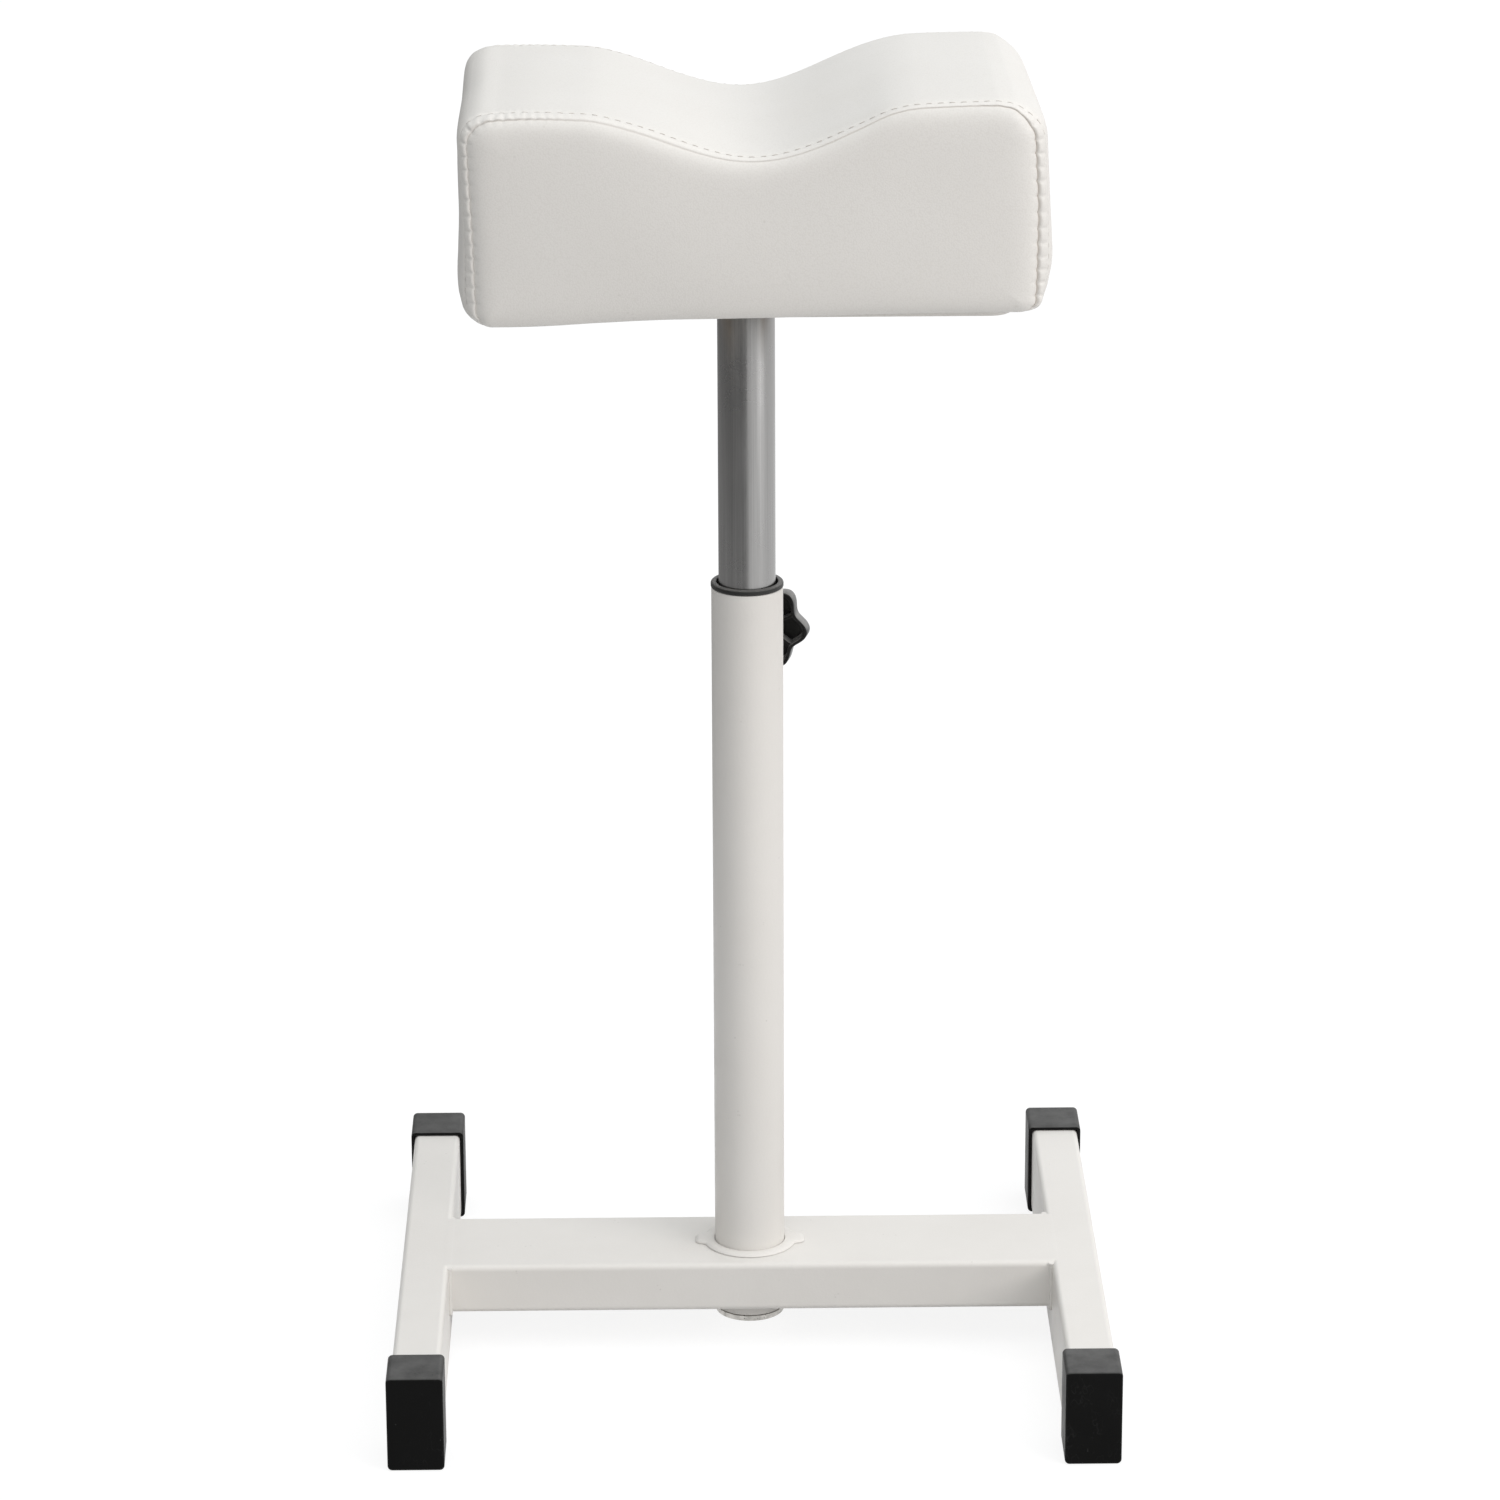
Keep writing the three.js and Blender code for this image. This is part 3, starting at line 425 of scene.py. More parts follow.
# %% [markdown]
# ### Leatherette, thread and plywood
#
# The cover is white leatherette, a vinyl skin on cloth: an embossed pebble grain under a soft sheen, a little
# warmer where it is handled. Seen from a metre away the grain is nearly lost, so it is kept under a
# millimetre, with its valleys a little darker. The cover's own seam values tint the groove darker, as dust
# and as a painted shade in the narrow groove. The thread is greyer than the pale real thread: a painted
# shade, where it sits in its own shadow, so that the small stitches can be seen.
# The board is birch plywood: thin plies on its edge and long grain on its face.

# %% Leatherette and thread
LEATHERETTE, tree, shader, where = finish("leatherette", (0.84, 0.82, 0.785), 0.44)
GRAIN_SIZE = 0.0009
skin = blend_colour(tree, patchy(tree, where, 6.0), (0.85, 0.832, 0.797), (0.83, 0.808, 0.77))
valleys = span(tree, effect(tree, PEBBLE, where, "Mask", Size=GRAIN_SIZE), 0.0, 0.5, 0.35, 0.0)
grain = blend_colour(tree, valleys, skin, (0.76, 0.735, 0.695))
# The seam groove's darker tint: dust and a painted shade in the narrow groove
groove = output(place(tree, "ShaderNodeAttribute", attribute_name="seam"), "Fac")
groove_darkened = blend_colour(tree, groove, grain, (0.66, 0.62, 0.57))
specks = effect(tree, SPECKS, where, Scale=300.0, Share=0.015)
feed(tree, shader, blend_colour(tree, specks, groove_darkened, (0.77, 0.75, 0.71)),
    patchy(tree, where, 25.0, 0.40, 0.50), effect(tree, PEBBLE, where, "Height", Size=GRAIN_SIZE),
    0.22, 0.00012)

# The thread's grey is a painted shade: the real thread is pale and sits in its own shadow
THREAD, tree, shader, where = finish("thread", (0.54, 0.51, 0.47), 0.7)
twist = output(place(tree, "ShaderNodeTexWave", {
    "Vector": where, "Scale": 900.0, "Distortion": 1.0}, bands_direction="DIAGONAL"), "Fac")
feed(tree, shader, blend_colour(tree, twist, (0.54, 0.51, 0.47), (0.65, 0.62, 0.58)),
    patchy(tree, where, 400.0, 0.6, 0.85), twist, 0.5, 0.0001)
print("cover:", LEATHERETTE.name, THREAD.name)

# %% Plywood
PLYWOOD, tree, shader, where = finish("plywood", (0.55, 0.38, 0.21), 0.6)
plies = place(tree, "ShaderNodeTexWave", {"Vector": where, "Scale": 105.0, "Distortion": 0.6,
    "Detail": 1.0}, bands_direction="Z")
along = place(tree, "ShaderNodeMapping", {"Vector": where, "Scale": (0.05, 1.0, 1.0)})
rings = place(tree, "ShaderNodeTexWave", {"Vector": output(along), "Scale": 30.0, "Distortion": 9.0,
    "Detail": 3.0}, bands_direction="Y")
fibres = noise(tree, output(along), 700.0, 4.0, 0.7)
face = blend_colour(tree, output(rings, "Fac"), (0.60, 0.42, 0.24), (0.48, 0.32, 0.17))
wood = blend_colour(tree, span(tree, fibres, 0.35, 0.7), face, (0.40, 0.26, 0.13))
facing = output(place(tree, "ShaderNodeSeparateXYZ",
    {0: output(place(tree, "ShaderNodeNewGeometry"), "Normal")}), "Z")
flat_face = span(tree, calc(tree, "ABSOLUTE", facing), 0.6, 0.8)
edge = blend_colour(tree, output(plies, "Fac"), (0.50, 0.34, 0.19), (0.22, 0.14, 0.08))
feed(tree, shader, blend_colour(tree, flat_face, edge, wood), patchy(tree, where, 60.0, 0.5, 0.7),
    fibres, 0.35, 0.0002)
print("finishes:", len(bpy.data.materials))

# %% [markdown]
# ## Helpers for meshes
#
# Most of this stand is made by moving one outline along an axis, so a list of rings describes
# nearly every piece. A ring can be a circle or a rounded rectangle; a pair of numbers, how far
# along and how far in, says where each ring goes. Extra points just beside each corner keep the
# flats truly flat when the surface is shaded smooth. All sizes here are in millimetres and turn
# into metres when the mesh is made.

# %% Objects and smooth shading
MERGE = 1e-6


def keep(piece, body, nodes=(), slot=None):
    """Lets a finished piece ride on a body and stand for CAD nodes."""
    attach(piece, body)
    if nodes:
        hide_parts(*nodes)
        slot = slot or next(
            p["material_slot"] for p in frame["record"]["subparts"] if p["node"] == nodes[0])
    return piece


def new_object(name, mesh, material=None):
    """An object at the origin for a mesh."""
    thing = bpy.data.objects.new(name, mesh)
    scene.collection.objects.link(thing)
    if material:
        mesh.materials.clear()
        mesh.materials.append(material)
    return thing


def soften(mesh, angle):
    """Merges doubles, points the faces outwards, and shades smooth up to an angle."""
    work = bmesh.new()
    work.from_mesh(mesh)
    bmesh.ops.remove_doubles(work, verts=work.verts, dist=MERGE)
    bmesh.ops.recalc_face_normals(work, faces=work.faces)
    work.to_mesh(mesh)
    work.free()
    mesh.shade_smooth()
    mesh.set_sharp_from_angle(angle=math.radians(angle))


def solid(name, points, faces, material, angle=35.0):
    """A mesh object from points in millimetres."""
    mesh = bpy.data.meshes.new(name)
    mesh.from_pydata([Vector(p) * MM for p in points], [], faces)
    soften(mesh, angle)
    return new_object(name, mesh, material)

# %% Rings and lofts
CORNER_STEPS = 8
SUPPORT = 0.35


def loft(rings, closed=False):
    """Skins rings of equal count; closed joins the last to the first, else both ends are capped."""
    count = len(rings[0])
    points = [p for ring in rings for p in ring]
    faces = []
    for r in range(len(rings) if closed else len(rings) - 1):
        low, high = r * count, ((r + 1) % len(rings)) * count
        faces += [(low + i, low + (i + 1) % count, high + (i + 1) % count, high + i)
                  for i in range(count)]
    if not closed:
        faces += [tuple(range(count))[::-1], tuple(range((len(rings) - 1) * count, len(points)))]
    return points, faces


def rounded(half_a, half_b, corner):
    """The outline of a rounded rectangle, with a point on the flat beside each corner."""
    points = []
    for quarter, (sign_a, sign_b) in enumerate(((1, 1), (-1, 1), (-1, -1), (1, -1))):
        turns = [math.radians(90 * (quarter + i / CORNER_STEPS)) for i in range(CORNER_STEPS + 1)]
        arc = [(sign_a * (half_a - corner) + corner * math.cos(t),
                sign_b * (half_b - corner) + corner * math.sin(t)) for t in turns]
        first, last = turns[0], turns[-1]
        points.append((arc[0][0] + SUPPORT * math.sin(first), arc[0][1] - SUPPORT * math.cos(first)))
        points += arc
        points.append((arc[-1][0] - SUPPORT * math.sin(last), arc[-1][1] + SUPPORT * math.cos(last)))
    return points


def along(axis, station, pairs, centre=(0, 0)):
    """Puts flat pairs across an axis at a station."""
    a, b = centre
    if axis == "x":
        return [(station, a + p, b + q) for p, q in pairs]
    if axis == "y":
        return [(a + p, station, b + q) for p, q in pairs]
    return [(a + p, b + q, station) for p, q in pairs]


def box_rings(axis, profile, half_a, half_b, corner, centre=(0, 0)):
    """Rings of a rounded rectangle; profile lists (station, inset)."""
    return [along(axis, s, rounded(half_a - i, half_b - i, max(corner - i, 0.25)), centre)
            for s, i in profile]


def turned_rings(profile, steps, centre=(0, 0)):
    """Rings of circles about Z; profile lists (radius, height)."""
    circle = [(math.cos(math.tau * i / steps), math.sin(math.tau * i / steps)) for i in range(steps)]
    return [along("z", z, [(r * c, r * s) for c, s in circle], centre) for r, z in profile]

# %% Modifiers that end in plain meshes
def settled(piece, how):
    """Adds modifiers, turns the result into a plain mesh, and takes the modifiers off."""
    how(piece.modifiers)
    graph = bpy.context.evaluated_depsgraph_get()
    mesh = bpy.data.meshes.new_from_object(piece.evaluated_get(graph), depsgraph=graph)
    piece.modifiers.clear()
    old = piece.data
    piece.data = mesh
    mesh.name = piece.name
    bpy.data.meshes.remove(old)
    return piece


def combine(piece, tool, operation, angle=35.0):
    """Cuts a tool from a piece, or joins it on, and drops the tool."""
    def add(modifiers):
        modifier = modifiers.new("join", "BOOLEAN")
        modifier.operation = operation
        modifier.object = tool
        modifier.solver = "EXACT"
    settled(piece, add)
    mesh = tool.data
    bpy.data.objects.remove(tool)
    bpy.data.meshes.remove(mesh)
    soften(piece.data, angle)
    return piece


def dressed(node, material, body, bevel=0.3, angle=35.0):
    """A copy of a CAD solid with merged faces, softened edges and its finish."""
    mesh = frame["nodes"][node].data.copy()
    work = bmesh.new()
    work.from_mesh(mesh)
    bmesh.ops.remove_doubles(work, verts=work.verts, dist=MERGE)
    bmesh.ops.dissolve_limit(work, angle_limit=math.radians(1), verts=work.verts, edges=work.edges)
    work.to_mesh(mesh)
    work.free()
    piece = new_object(node + "_dressed", mesh, material)

    def add(modifiers):
        modifier = modifiers.new("edges", "BEVEL")
        modifier.width = bevel * MM
        modifier.segments = 2
        modifier.limit_method = "ANGLE"
        modifier.angle_limit = math.radians(40)
        modifier.use_clamp_overlap = True
    settled(piece, add)
    piece.data.shade_smooth()
    piece.data.set_sharp_from_angle(angle=math.radians(angle))
    return keep(piece, body, (node,))

# %% [markdown]
# ## The base: two legs and a crossbar
#
# Each leg is a rectangular steel tube that runs from front to back; the crossbar is a wider,
# flatter tube between them, flush with their tops, and the post passes down through it. A cube
# with a bevel would do from afar, but the tube has a wall and open ends, so each is a closed loop
# of rings: out along the skin and back along the bore. The hole for the post is cut with a
# Boolean, as the real one is punched.

# %% Legs and crossbar
LEG_HALF = (13.5, 25.5)
LEG_CENTRE = (186.5, 27.7)
LEG_END = 186.5
LEG_CORNER, LEG_WALL = 3.0, 1.5
BAR_HALF = (35.25, 14.5)
BAR_END, BAR_CORNER, BAR_WALL = 172.7, 3.2, 2.0
BAR_CENTRE_HEIGHT = 38.7
POST_HOLE = 20.3


def tube_profile(end, wall, edge=0.4):
    """Out along the skin and back along the bore, with a small broken edge at each end."""
    skin = [(-end, edge), (-end + edge, 0), (end - edge, 0), (end, edge)]
    return skin + [(end, wall), (-end, wall)]


for name, side in (("left_leg_tube", -1), ("right_leg_tube", 1)):
    rings = box_rings("y", tube_profile(LEG_END, LEG_WALL), *LEG_HALF, LEG_CORNER,
        (side * LEG_CENTRE[0], LEG_CENTRE[1]))
    keep(solid(name + "_steel", *loft(rings, closed=True), WHITE_COAT), "base", (name,))

rings = box_rings("x", tube_profile(BAR_END, BAR_WALL, 0.2), *BAR_HALF, BAR_CORNER,
    (0, BAR_CENTRE_HEIGHT))
crossbar = solid("crossbar_steel", *loft(rings, closed=True), WHITE_COAT)
drill = solid("drill", *loft(turned_rings([(POST_HOLE, 20), (POST_HOLE, 60)], 96)), WHITE_COAT)
keep(combine(crossbar, drill, "DIFFERENCE"), "base", ("crossbar_tube",))
print("crossbar faces:", len(crossbar.data.polygons))

# %% [markdown]
# ## The push-on caps
#
# A cap is a moulded box open on one side, pushed over the end of a leg. Its edges are rounded so
# that it doesn't cut the floor. The rings start in the middle of the closed face, run round the
# edge and along the skin to the mouth, turn in, and come back inside: one closed shell with a real
# wall. The mouth bows a little, because the long thin walls of such a moulding never stay quite
# straight.

# %% Caps
CAP_HALF = (15.7, 27.7)
CAP_OUTER, CAP_MOUTH = 189.0, 157.0
CAP_CORNER, CAP_WALL, CAP_FLOOR = 2.7, 1.9, 2.2
CAP_ROUND = 1.1
CAP_BOW, BOW_REACH = 0.55, 10


def rounding(radius, steps=5):
    """(along, inset) pairs of a quarter round, from the face to the skin."""
    return [(radius * (1 - math.cos(t)), radius * (1 - math.sin(t)))
            for t in (math.pi / 2 * i / steps for i in range(steps + 1))]


def cap_rings(side, end):
    """All rings of one cap, given as signs of x and y."""
    face = [(0.0, 7.0), (0.0, CAP_ROUND + 1.2)] + rounding(CAP_ROUND)
    profile = [(CAP_OUTER - s, i) for s, i in face]
    profile += [(CAP_OUTER - CAP_ROUND - 1, 0), (CAP_MOUTH + 9, 0), (CAP_MOUTH + 0.5, 0),
                (CAP_MOUTH + 0.12, 0.12), (CAP_MOUTH, 0.45), (CAP_MOUTH, CAP_WALL - 0.3),
                (CAP_MOUTH + 0.3, CAP_WALL), (CAP_OUTER - CAP_FLOOR - 0.4, CAP_WALL),
                (CAP_OUTER - CAP_FLOOR, CAP_WALL + 0.4)]
    rings = []
    for station, inset in profile:
        near_mouth = max(0.0, 1 - (station - CAP_MOUTH) / BOW_REACH)
        ring = []
        for a, b in rounded(CAP_HALF[0] - inset, CAP_HALF[1] - inset, max(CAP_CORNER - inset, 0.25)):
            bow = CAP_BOW * near_mouth * ((1 - (a / CAP_HALF[0]) ** 2) + (1 - (b / CAP_HALF[1]) ** 2)) / 2
            ring.append((side * LEG_CENTRE[0] + a, end * (station - bow), LEG_CENTRE[1] + b))
        rings.append(ring)
    return rings


for name, side, end in (("front_left_cap", -1, -1), ("front_right_cap", 1, -1),
                        ("rear_left_cap", -1, 1), ("rear_right_cap", 1, 1)):
    keep(solid(name + "_moulding", *loft(cap_rings(side, end)), BLACK_PLASTIC), "base", (name,))

# %% [markdown]
# ## The post, its ring, plug and bush
#
# These are turned pieces, so a profile of radius and height spun about the axis is the natural
# way; a Screw modifier would do the same. The ring on the crossbar is a thin pressing with two
# small ears. Its outline is not a circle, so its radius is found for each direction from a smooth
# union of a disc and a rounded bar, and then the same rings are made with a soft upper edge.

# %% Turned pieces of the post
ROUND_STEPS = 128


def turned(name, profile, material, nodes, body="base", closed=True):
    """A turned piece about the post's axis."""
    return keep(solid(name, *loft(turned_rings(profile, ROUND_STEPS), closed), material), body, nodes)


post = solid("outer_post_steel", *loft(turned_rings([
    (19.6, 14.0), (20.0, 14.4), (20.0, 449.0), (19.85, 449.4), (19.5, 449.5), (18.7, 449.5),
    (18.5, 449.3), (18.5, 14.0)], ROUND_STEPS), closed=True), WHITE_COAT)

turned("collar_bush_moulding", [
    (17.2, 452.3), (17.5, 452.6), (19.2, 452.6), (19.75, 452.45), (20.15, 452.05), (20.3, 451.5),
    (20.3, 450.1), (20.0, 449.8), (18.2, 449.8), (18.2, 424.2), (17.8, 423.8), (16.4, 423.8),
    (16.2, 424.0), (16.2, 448.2), (16.5, 448.6), (17.2, 448.8)], GREY_PLASTIC, ("collar_bush",))

turned("inner_tube_steel", [
    (15.5, 189.9), (15.9, 190.3), (15.9, 620.6), (15.7, 620.9), (14.4, 620.9), (14.4, 189.9)],
    DRAWN_STEEL, ("inner_tube",), "head")

turned("post_end_plug_steel", [
    (14.0, 10.3), (19.2, 10.3), (19.65, 10.5), (19.8, 11.0), (19.8, 13.4), (19.5, 13.7),
    (18.3, 13.7), (18.2, 14.0), (18.2, 25.3), (17.8, 25.7), (15.4, 25.7), (15.0, 25.3),
    (15.0, 14.0), (14.2, 13.3)], PLUG_STEEL, ("post_end_plug",), closed=False)
print("post height:", round(post.dimensions.z, 4), "m")

# %% The ring with two ears
RING_RADIUS, EAR_REACH, EAR_HALF, EAR_CORNER = 26.5, 31.5, 6.5, 4.3
RING_FOOT, RING_TOP = 53.5, 55.1
RING_BLEND = 2.5


def ring_reach(angle):
    """How far the ring goes in one direction, by halving the gap to the smooth union."""
    low, high = 15.0, 40.0
    for _ in range(30):
        middle = (low + high) / 2
        x, y = middle * math.cos(angle), middle * math.sin(angle)
        disc = middle - RING_RADIUS
        a, b = abs(x) - EAR_REACH + EAR_CORNER, abs(y) - EAR_HALF + EAR_CORNER
        bar = math.hypot(max(a, 0), max(b, 0)) + min(max(a, b), 0) - EAR_CORNER
        share = max(RING_BLEND - abs(disc - bar), 0) / RING_BLEND
        outside = min(disc, bar) - share * share * RING_BLEND / 4
        low, high = (low, middle) if outside > 0 else (middle, high)
    return low


RING_STEPS = 240
turns = [math.tau * i / RING_STEPS for i in range(RING_STEPS)]
reach = [ring_reach(t) for t in turns]
rings = [[((r - inset) * math.cos(t), (r - inset) * math.sin(t), z) for t, r in zip(turns, reach)]
         for z, inset in ((RING_FOOT, 0.0), (RING_TOP - 1.1, 0.1), (RING_TOP - 0.65, 0.6),
                          (RING_TOP - 0.25, 1.4), (RING_TOP, 2.5))]
rings += [[(r * math.cos(t), r * math.sin(t), z) for t in turns]
          for r, z in ((21.2, RING_TOP), (20.6, RING_TOP - 0.15), (POST_HOLE, RING_TOP - 0.5),
                       (POST_HOLE, RING_FOOT))]
keep(solid("post_ring_pressing", *loft(rings, closed=True), WHITE_COAT), "base", ("post_ring",))
print("ring reach:", round(max(reach), 2), "mm")

# %% [markdown]
# ## The clamp
#
# Behind the post a short threaded boss is welded on; a stud with a plastic pad at its tip runs
# through it and presses on the inner tube. These pieces lie along an axis that points to the back
# and a little to the right, so they are built upright and then moved with one matrix. The thread
# is real geometry: a grid round the stud whose radius rises and falls along a helix.

# %% Clamp axis, stud and boss
CLAMP_HEIGHT = 410.5
CLAMP_TURN = math.radians(13)
clamp_matrix = Matrix((
    (math.cos(CLAMP_TURN), 0, math.sin(CLAMP_TURN), 0),
    (-math.sin(CLAMP_TURN), 0, math.cos(CLAMP_TURN), 0),
    (0, -1, 0, CLAMP_HEIGHT * MM),
    (0, 0, 0, 1)))
STUD_START, STUD_END = 20.0, 53.2
STUD_CREST, STUD_ROOT, STUD_PITCH = 4.0, 3.3, 1.25
STUD_STEPS, ROWS_PER_TURN = 32, 8


def stud_radius(place_along, turn_share):
    """The thread's radius at a place along the stud and a share of a turn round it."""
    phase = (place_along / STUD_PITCH - turn_share) % 1
    tooth = min(1.0, 1.35 * abs(2 * phase - 1))
    near_end = min(place_along - STUD_START, STUD_END - place_along)
    return min(STUD_ROOT + (STUD_CREST - STUD_ROOT) * tooth, STUD_ROOT - 0.5 + near_end)


rows = round((STUD_END - STUD_START) / STUD_PITCH * ROWS_PER_TURN)
shares = [i / STUD_STEPS for i in range(STUD_STEPS)]
rings = []
for row in range(rows + 1):
    s = STUD_START + (STUD_END - STUD_START) * row / rows
    rings.append([(stud_radius(s, t) * math.cos(math.tau * t), stud_radius(s, t) * math.sin(math.tau * t), s)
                  for t in shares])
stud = solid("clamp_stud_thread", *loft(rings), ZINC, 60.0)
stud.data.transform(clamp_matrix)
keep(stud, "knob", ("clamp_stud",))

drill = solid("drill", *loft(turned_rings([(4.3, 15), (4.3, 26)], 48)), WHITE_COAT)
drill.data.transform(clamp_matrix)
keep(combine(post, drill, "DIFFERENCE"), "base", ("outer_post",))

dressed("clamp_boss", WHITE_COAT, "base", 0.6)
dressed("pressure_pad", GREY_PLASTIC, "clamp_tip", 0.3)
dressed("knob_insert", BRASS, "knob", 0.3)
dressed("foot_sleeve", GREY_PLASTIC, "slider", 0.4)
print("thread rows:", rows)

# %% [markdown]
# ## The star knob
#
# The knob is a shell with six lobes: its face looks away from the post, and its open back shows
# six thin ribs round a hub. The lobes follow a rule, a radius that swells six times in a turn. The
# shell is lofted from that outline, the ribs are the same bar repeated round the hub, so they are
# made with Geometry Nodes, and a Boolean union makes it one moulding.

# %% A tool for Geometry Nodes
def geometry_tree(name, inputs):
    """A geometry tree with named inputs: (tree, input sockets, output node)."""
    tree = bpy.data.node_groups.new(name, "GeometryNodeTree")
    tree.is_modifier = True
    for label, kind, value in [("Geometry", "Geometry", None)] + inputs:
        socket = tree.interface.new_socket(label, in_out="INPUT", socket_type="NodeSocket" + kind)
        if value is not None:
            socket.default_value = value
    tree.interface.new_socket("Geometry", in_out="OUTPUT", socket_type="NodeSocketGeometry")
    return tree, tree.nodes.new("NodeGroupInput").outputs, tree.nodes.new("NodeGroupOutput")


def close_tree(tree, geometry, material, end):
    """Ends a tree in real geometry with a material."""
    real = place(tree, "GeometryNodeRealizeInstances", {"Geometry": geometry})
    coloured = place(tree, "GeometryNodeSetMaterial", {"Geometry": output(real), "Material": material})
    tree.links.new(output(coloured), end.inputs["Geometry"])


def grown(name, mesh, tree, values):
    """Runs a geometry tree on a mesh and keeps the result as a plain mesh."""
    piece = new_object(name, mesh)

    def add(modifiers):
        modifier = modifiers.new("grow", "NODES")
        modifier.node_group = tree
        for item in tree.interface.items_tree:
            if item.item_type == "SOCKET" and item.in_out == "INPUT" and item.name in values:
                modifier[item.identifier] = values[item.name]
    return settled(piece, add)

# %% Ribs of the knob
RIBS, into, end = geometry_tree("knob_ribs", [
    ("Count", "Int", 6), ("Radius", "Float", 0.013), ("Size", "Vector", (0.01, 0.0016, 0.007)),
    ("Height", "Float", 0.005), ("Turn", "Float", 0.0), ("Material", "Material", None)])
circle = place(RIBS, "GeometryNodeMeshCircle", {"Vertices": into["Count"], "Radius": into["Radius"]})
bar = place(RIBS, "GeometryNodeMeshCube", {"Size": into["Size"]})
step = place(RIBS, "ShaderNodeMath", {0: math.tau, 1: into["Count"]}, operation="DIVIDE")
turn = place(RIBS, "ShaderNodeMath", {0: output(place(RIBS, "GeometryNodeInputIndex")), 1: output(step)},
    operation="MULTIPLY")
facing = place(RIBS, "ShaderNodeCombineXYZ", {"Z": output(turn)})
placed = place(RIBS, "GeometryNodeInstanceOnPoints", {
    "Points": output(circle), "Instance": output(bar), "Rotation": output(facing)})
lifted = place(RIBS, "GeometryNodeTransform", {
    "Geometry": output(placed),
    "Translation": output(place(RIBS, "ShaderNodeCombineXYZ", {"Z": into["Height"]})),
    "Rotation": output(place(RIBS, "ShaderNodeCombineXYZ", {"Z": into["Turn"]}))})
close_tree(RIBS, output(lifted), into["Material"], end)

# %% Shell of the knob
KNOB_PLACE, KNOB_TURN = 46.2, math.radians(5)
KNOB_LOBES, KNOB_STEPS = 6, 180
KNOB_MEAN, KNOB_SWING = 22.0, 2.5
KNOB_DEPTH, KNOB_FACE, KNOB_WALL, KNOB_ROUND = 10.5, 2.6, 2.4, 2.4
SWING_FADE = 26


def star(height, inset):
    """One ring of the knob's outline, drawn in evenly."""
    ring = []
    for i in range(KNOB_STEPS):
        t = math.tau * i / KNOB_STEPS
        swing = KNOB_SWING * max(0.0, 1 - inset / SWING_FADE)
        r = KNOB_MEAN - inset + swing * math.cos(KNOB_LOBES * t)
        ring.append((r * math.cos(t + KNOB_TURN), r * math.sin(t + KNOB_TURN), KNOB_PLACE + height))
    return ring


profile = [(KNOB_DEPTH + 0.5, 19.0), (KNOB_DEPTH + 0.42, 14.0), (KNOB_DEPTH + 0.25, 8.0),
           (KNOB_DEPTH, KNOB_ROUND + 0.6)]
profile += [(KNOB_DEPTH - s, i) for s, i in rounding(KNOB_ROUND, 6)]
profile += [(4.0, 0.0), (0.35, 0.0), (0.1, 0.1), (0.0, 0.35), (0.0, KNOB_WALL - 0.35),
            (0.15, KNOB_WALL - 0.1), (0.4, KNOB_WALL), (KNOB_DEPTH - KNOB_FACE - 0.8, KNOB_WALL + 0.1),
            (KNOB_DEPTH - KNOB_FACE, KNOB_WALL + 0.9)]
knob = solid("clamp_knob_moulding", *loft([star(h, i) for h, i in profile]), KNOB_PLASTIC)
print("knob shell:", len(profile), "rings of", KNOB_STEPS, "points")

# %% Hub and ribs joined to the shell
HUB_RADIUS, HUB_BORE, HUB_PROUD, SOCKET_FLOOR, KNOB_CEILING = 9.0, 6.3, 2.0, 7.3, 8.6
hub = solid("hub", *loft(turned_rings([(r, KNOB_PLACE + h) for r, h in (
    (HUB_RADIUS, KNOB_CEILING), (HUB_RADIUS, 0.0), (HUB_RADIUS - 0.2, -HUB_PROUD + 0.5),
    (HUB_RADIUS - 0.7, -HUB_PROUD), (HUB_BORE + 0.4, -HUB_PROUD), (HUB_BORE, -HUB_PROUD + 0.4),
    (HUB_BORE, SOCKET_FLOOR))], 64)), KNOB_PLASTIC)
RIB_INNER, RIB_OUTER, RIB_WIDTH, RIB_DROP = 7.6, 18.3, 1.6, 1.5
ribs = grown("ribs", bpy.data.meshes.new("ribs"), RIBS, {
    "Count": KNOB_LOBES, "Radius": (RIB_INNER + RIB_OUTER) / 2 * MM,
    "Size": ((RIB_OUTER - RIB_INNER) * MM, RIB_WIDTH * MM, (KNOB_CEILING - RIB_DROP) * MM),
    "Height": (KNOB_PLACE + (KNOB_CEILING + RIB_DROP) / 2) * MM,
    "Turn": KNOB_TURN + math.pi / KNOB_LOBES, "Material": KNOB_PLASTIC})
combine(combine(knob, hub, "UNION"), ribs, "UNION")
knob.data.transform(clamp_matrix)
keep(knob, "knob", ("clamp_knob",))
print("knob faces:", len(knob.data.polygons))

# %% [markdown]
# ## The mount under the pad
#
# A square plate is welded on the inner tube. Four bolts with washers go up through it into tee
# nuts in a plywood board. Nobody sees them from the front, but they show from below. Their CAD
# solids have the right shape, so each gets a dressed copy: the triangles are merged back into
# faces, the edges are broken with a small bevel, and the finish is added.

# %% Plate, fasteners and board
dressed("mount_plate", BLACK_COAT, "head", 0.5)
dressed("pad_board", PLYWOOD, "head", 0.5)
for i in range(1, 5):
    dressed(f"mount_bolt_{i}", ZINC, "head", 0.35)
    dressed(f"mount_washer_{i}", ZINC, "head", 0.2)
    dressed(f"tee_nut_{i}", ZINC, "head", 0.15)

# %% [markdown]
# ## Weld beads
#
# The crossbar is welded to the legs at its sides and below, and ground flush on top. A bead is a
# tube that follows the joint, thicker where the welder stopped, with faint ripples under the
# powder. Curves with a bevel could draw it, but Geometry Nodes can also vary the thickness and add
# the ripples, and the same tree serves every joint: each path is a chain of edges with a "thick"
# value at each point.

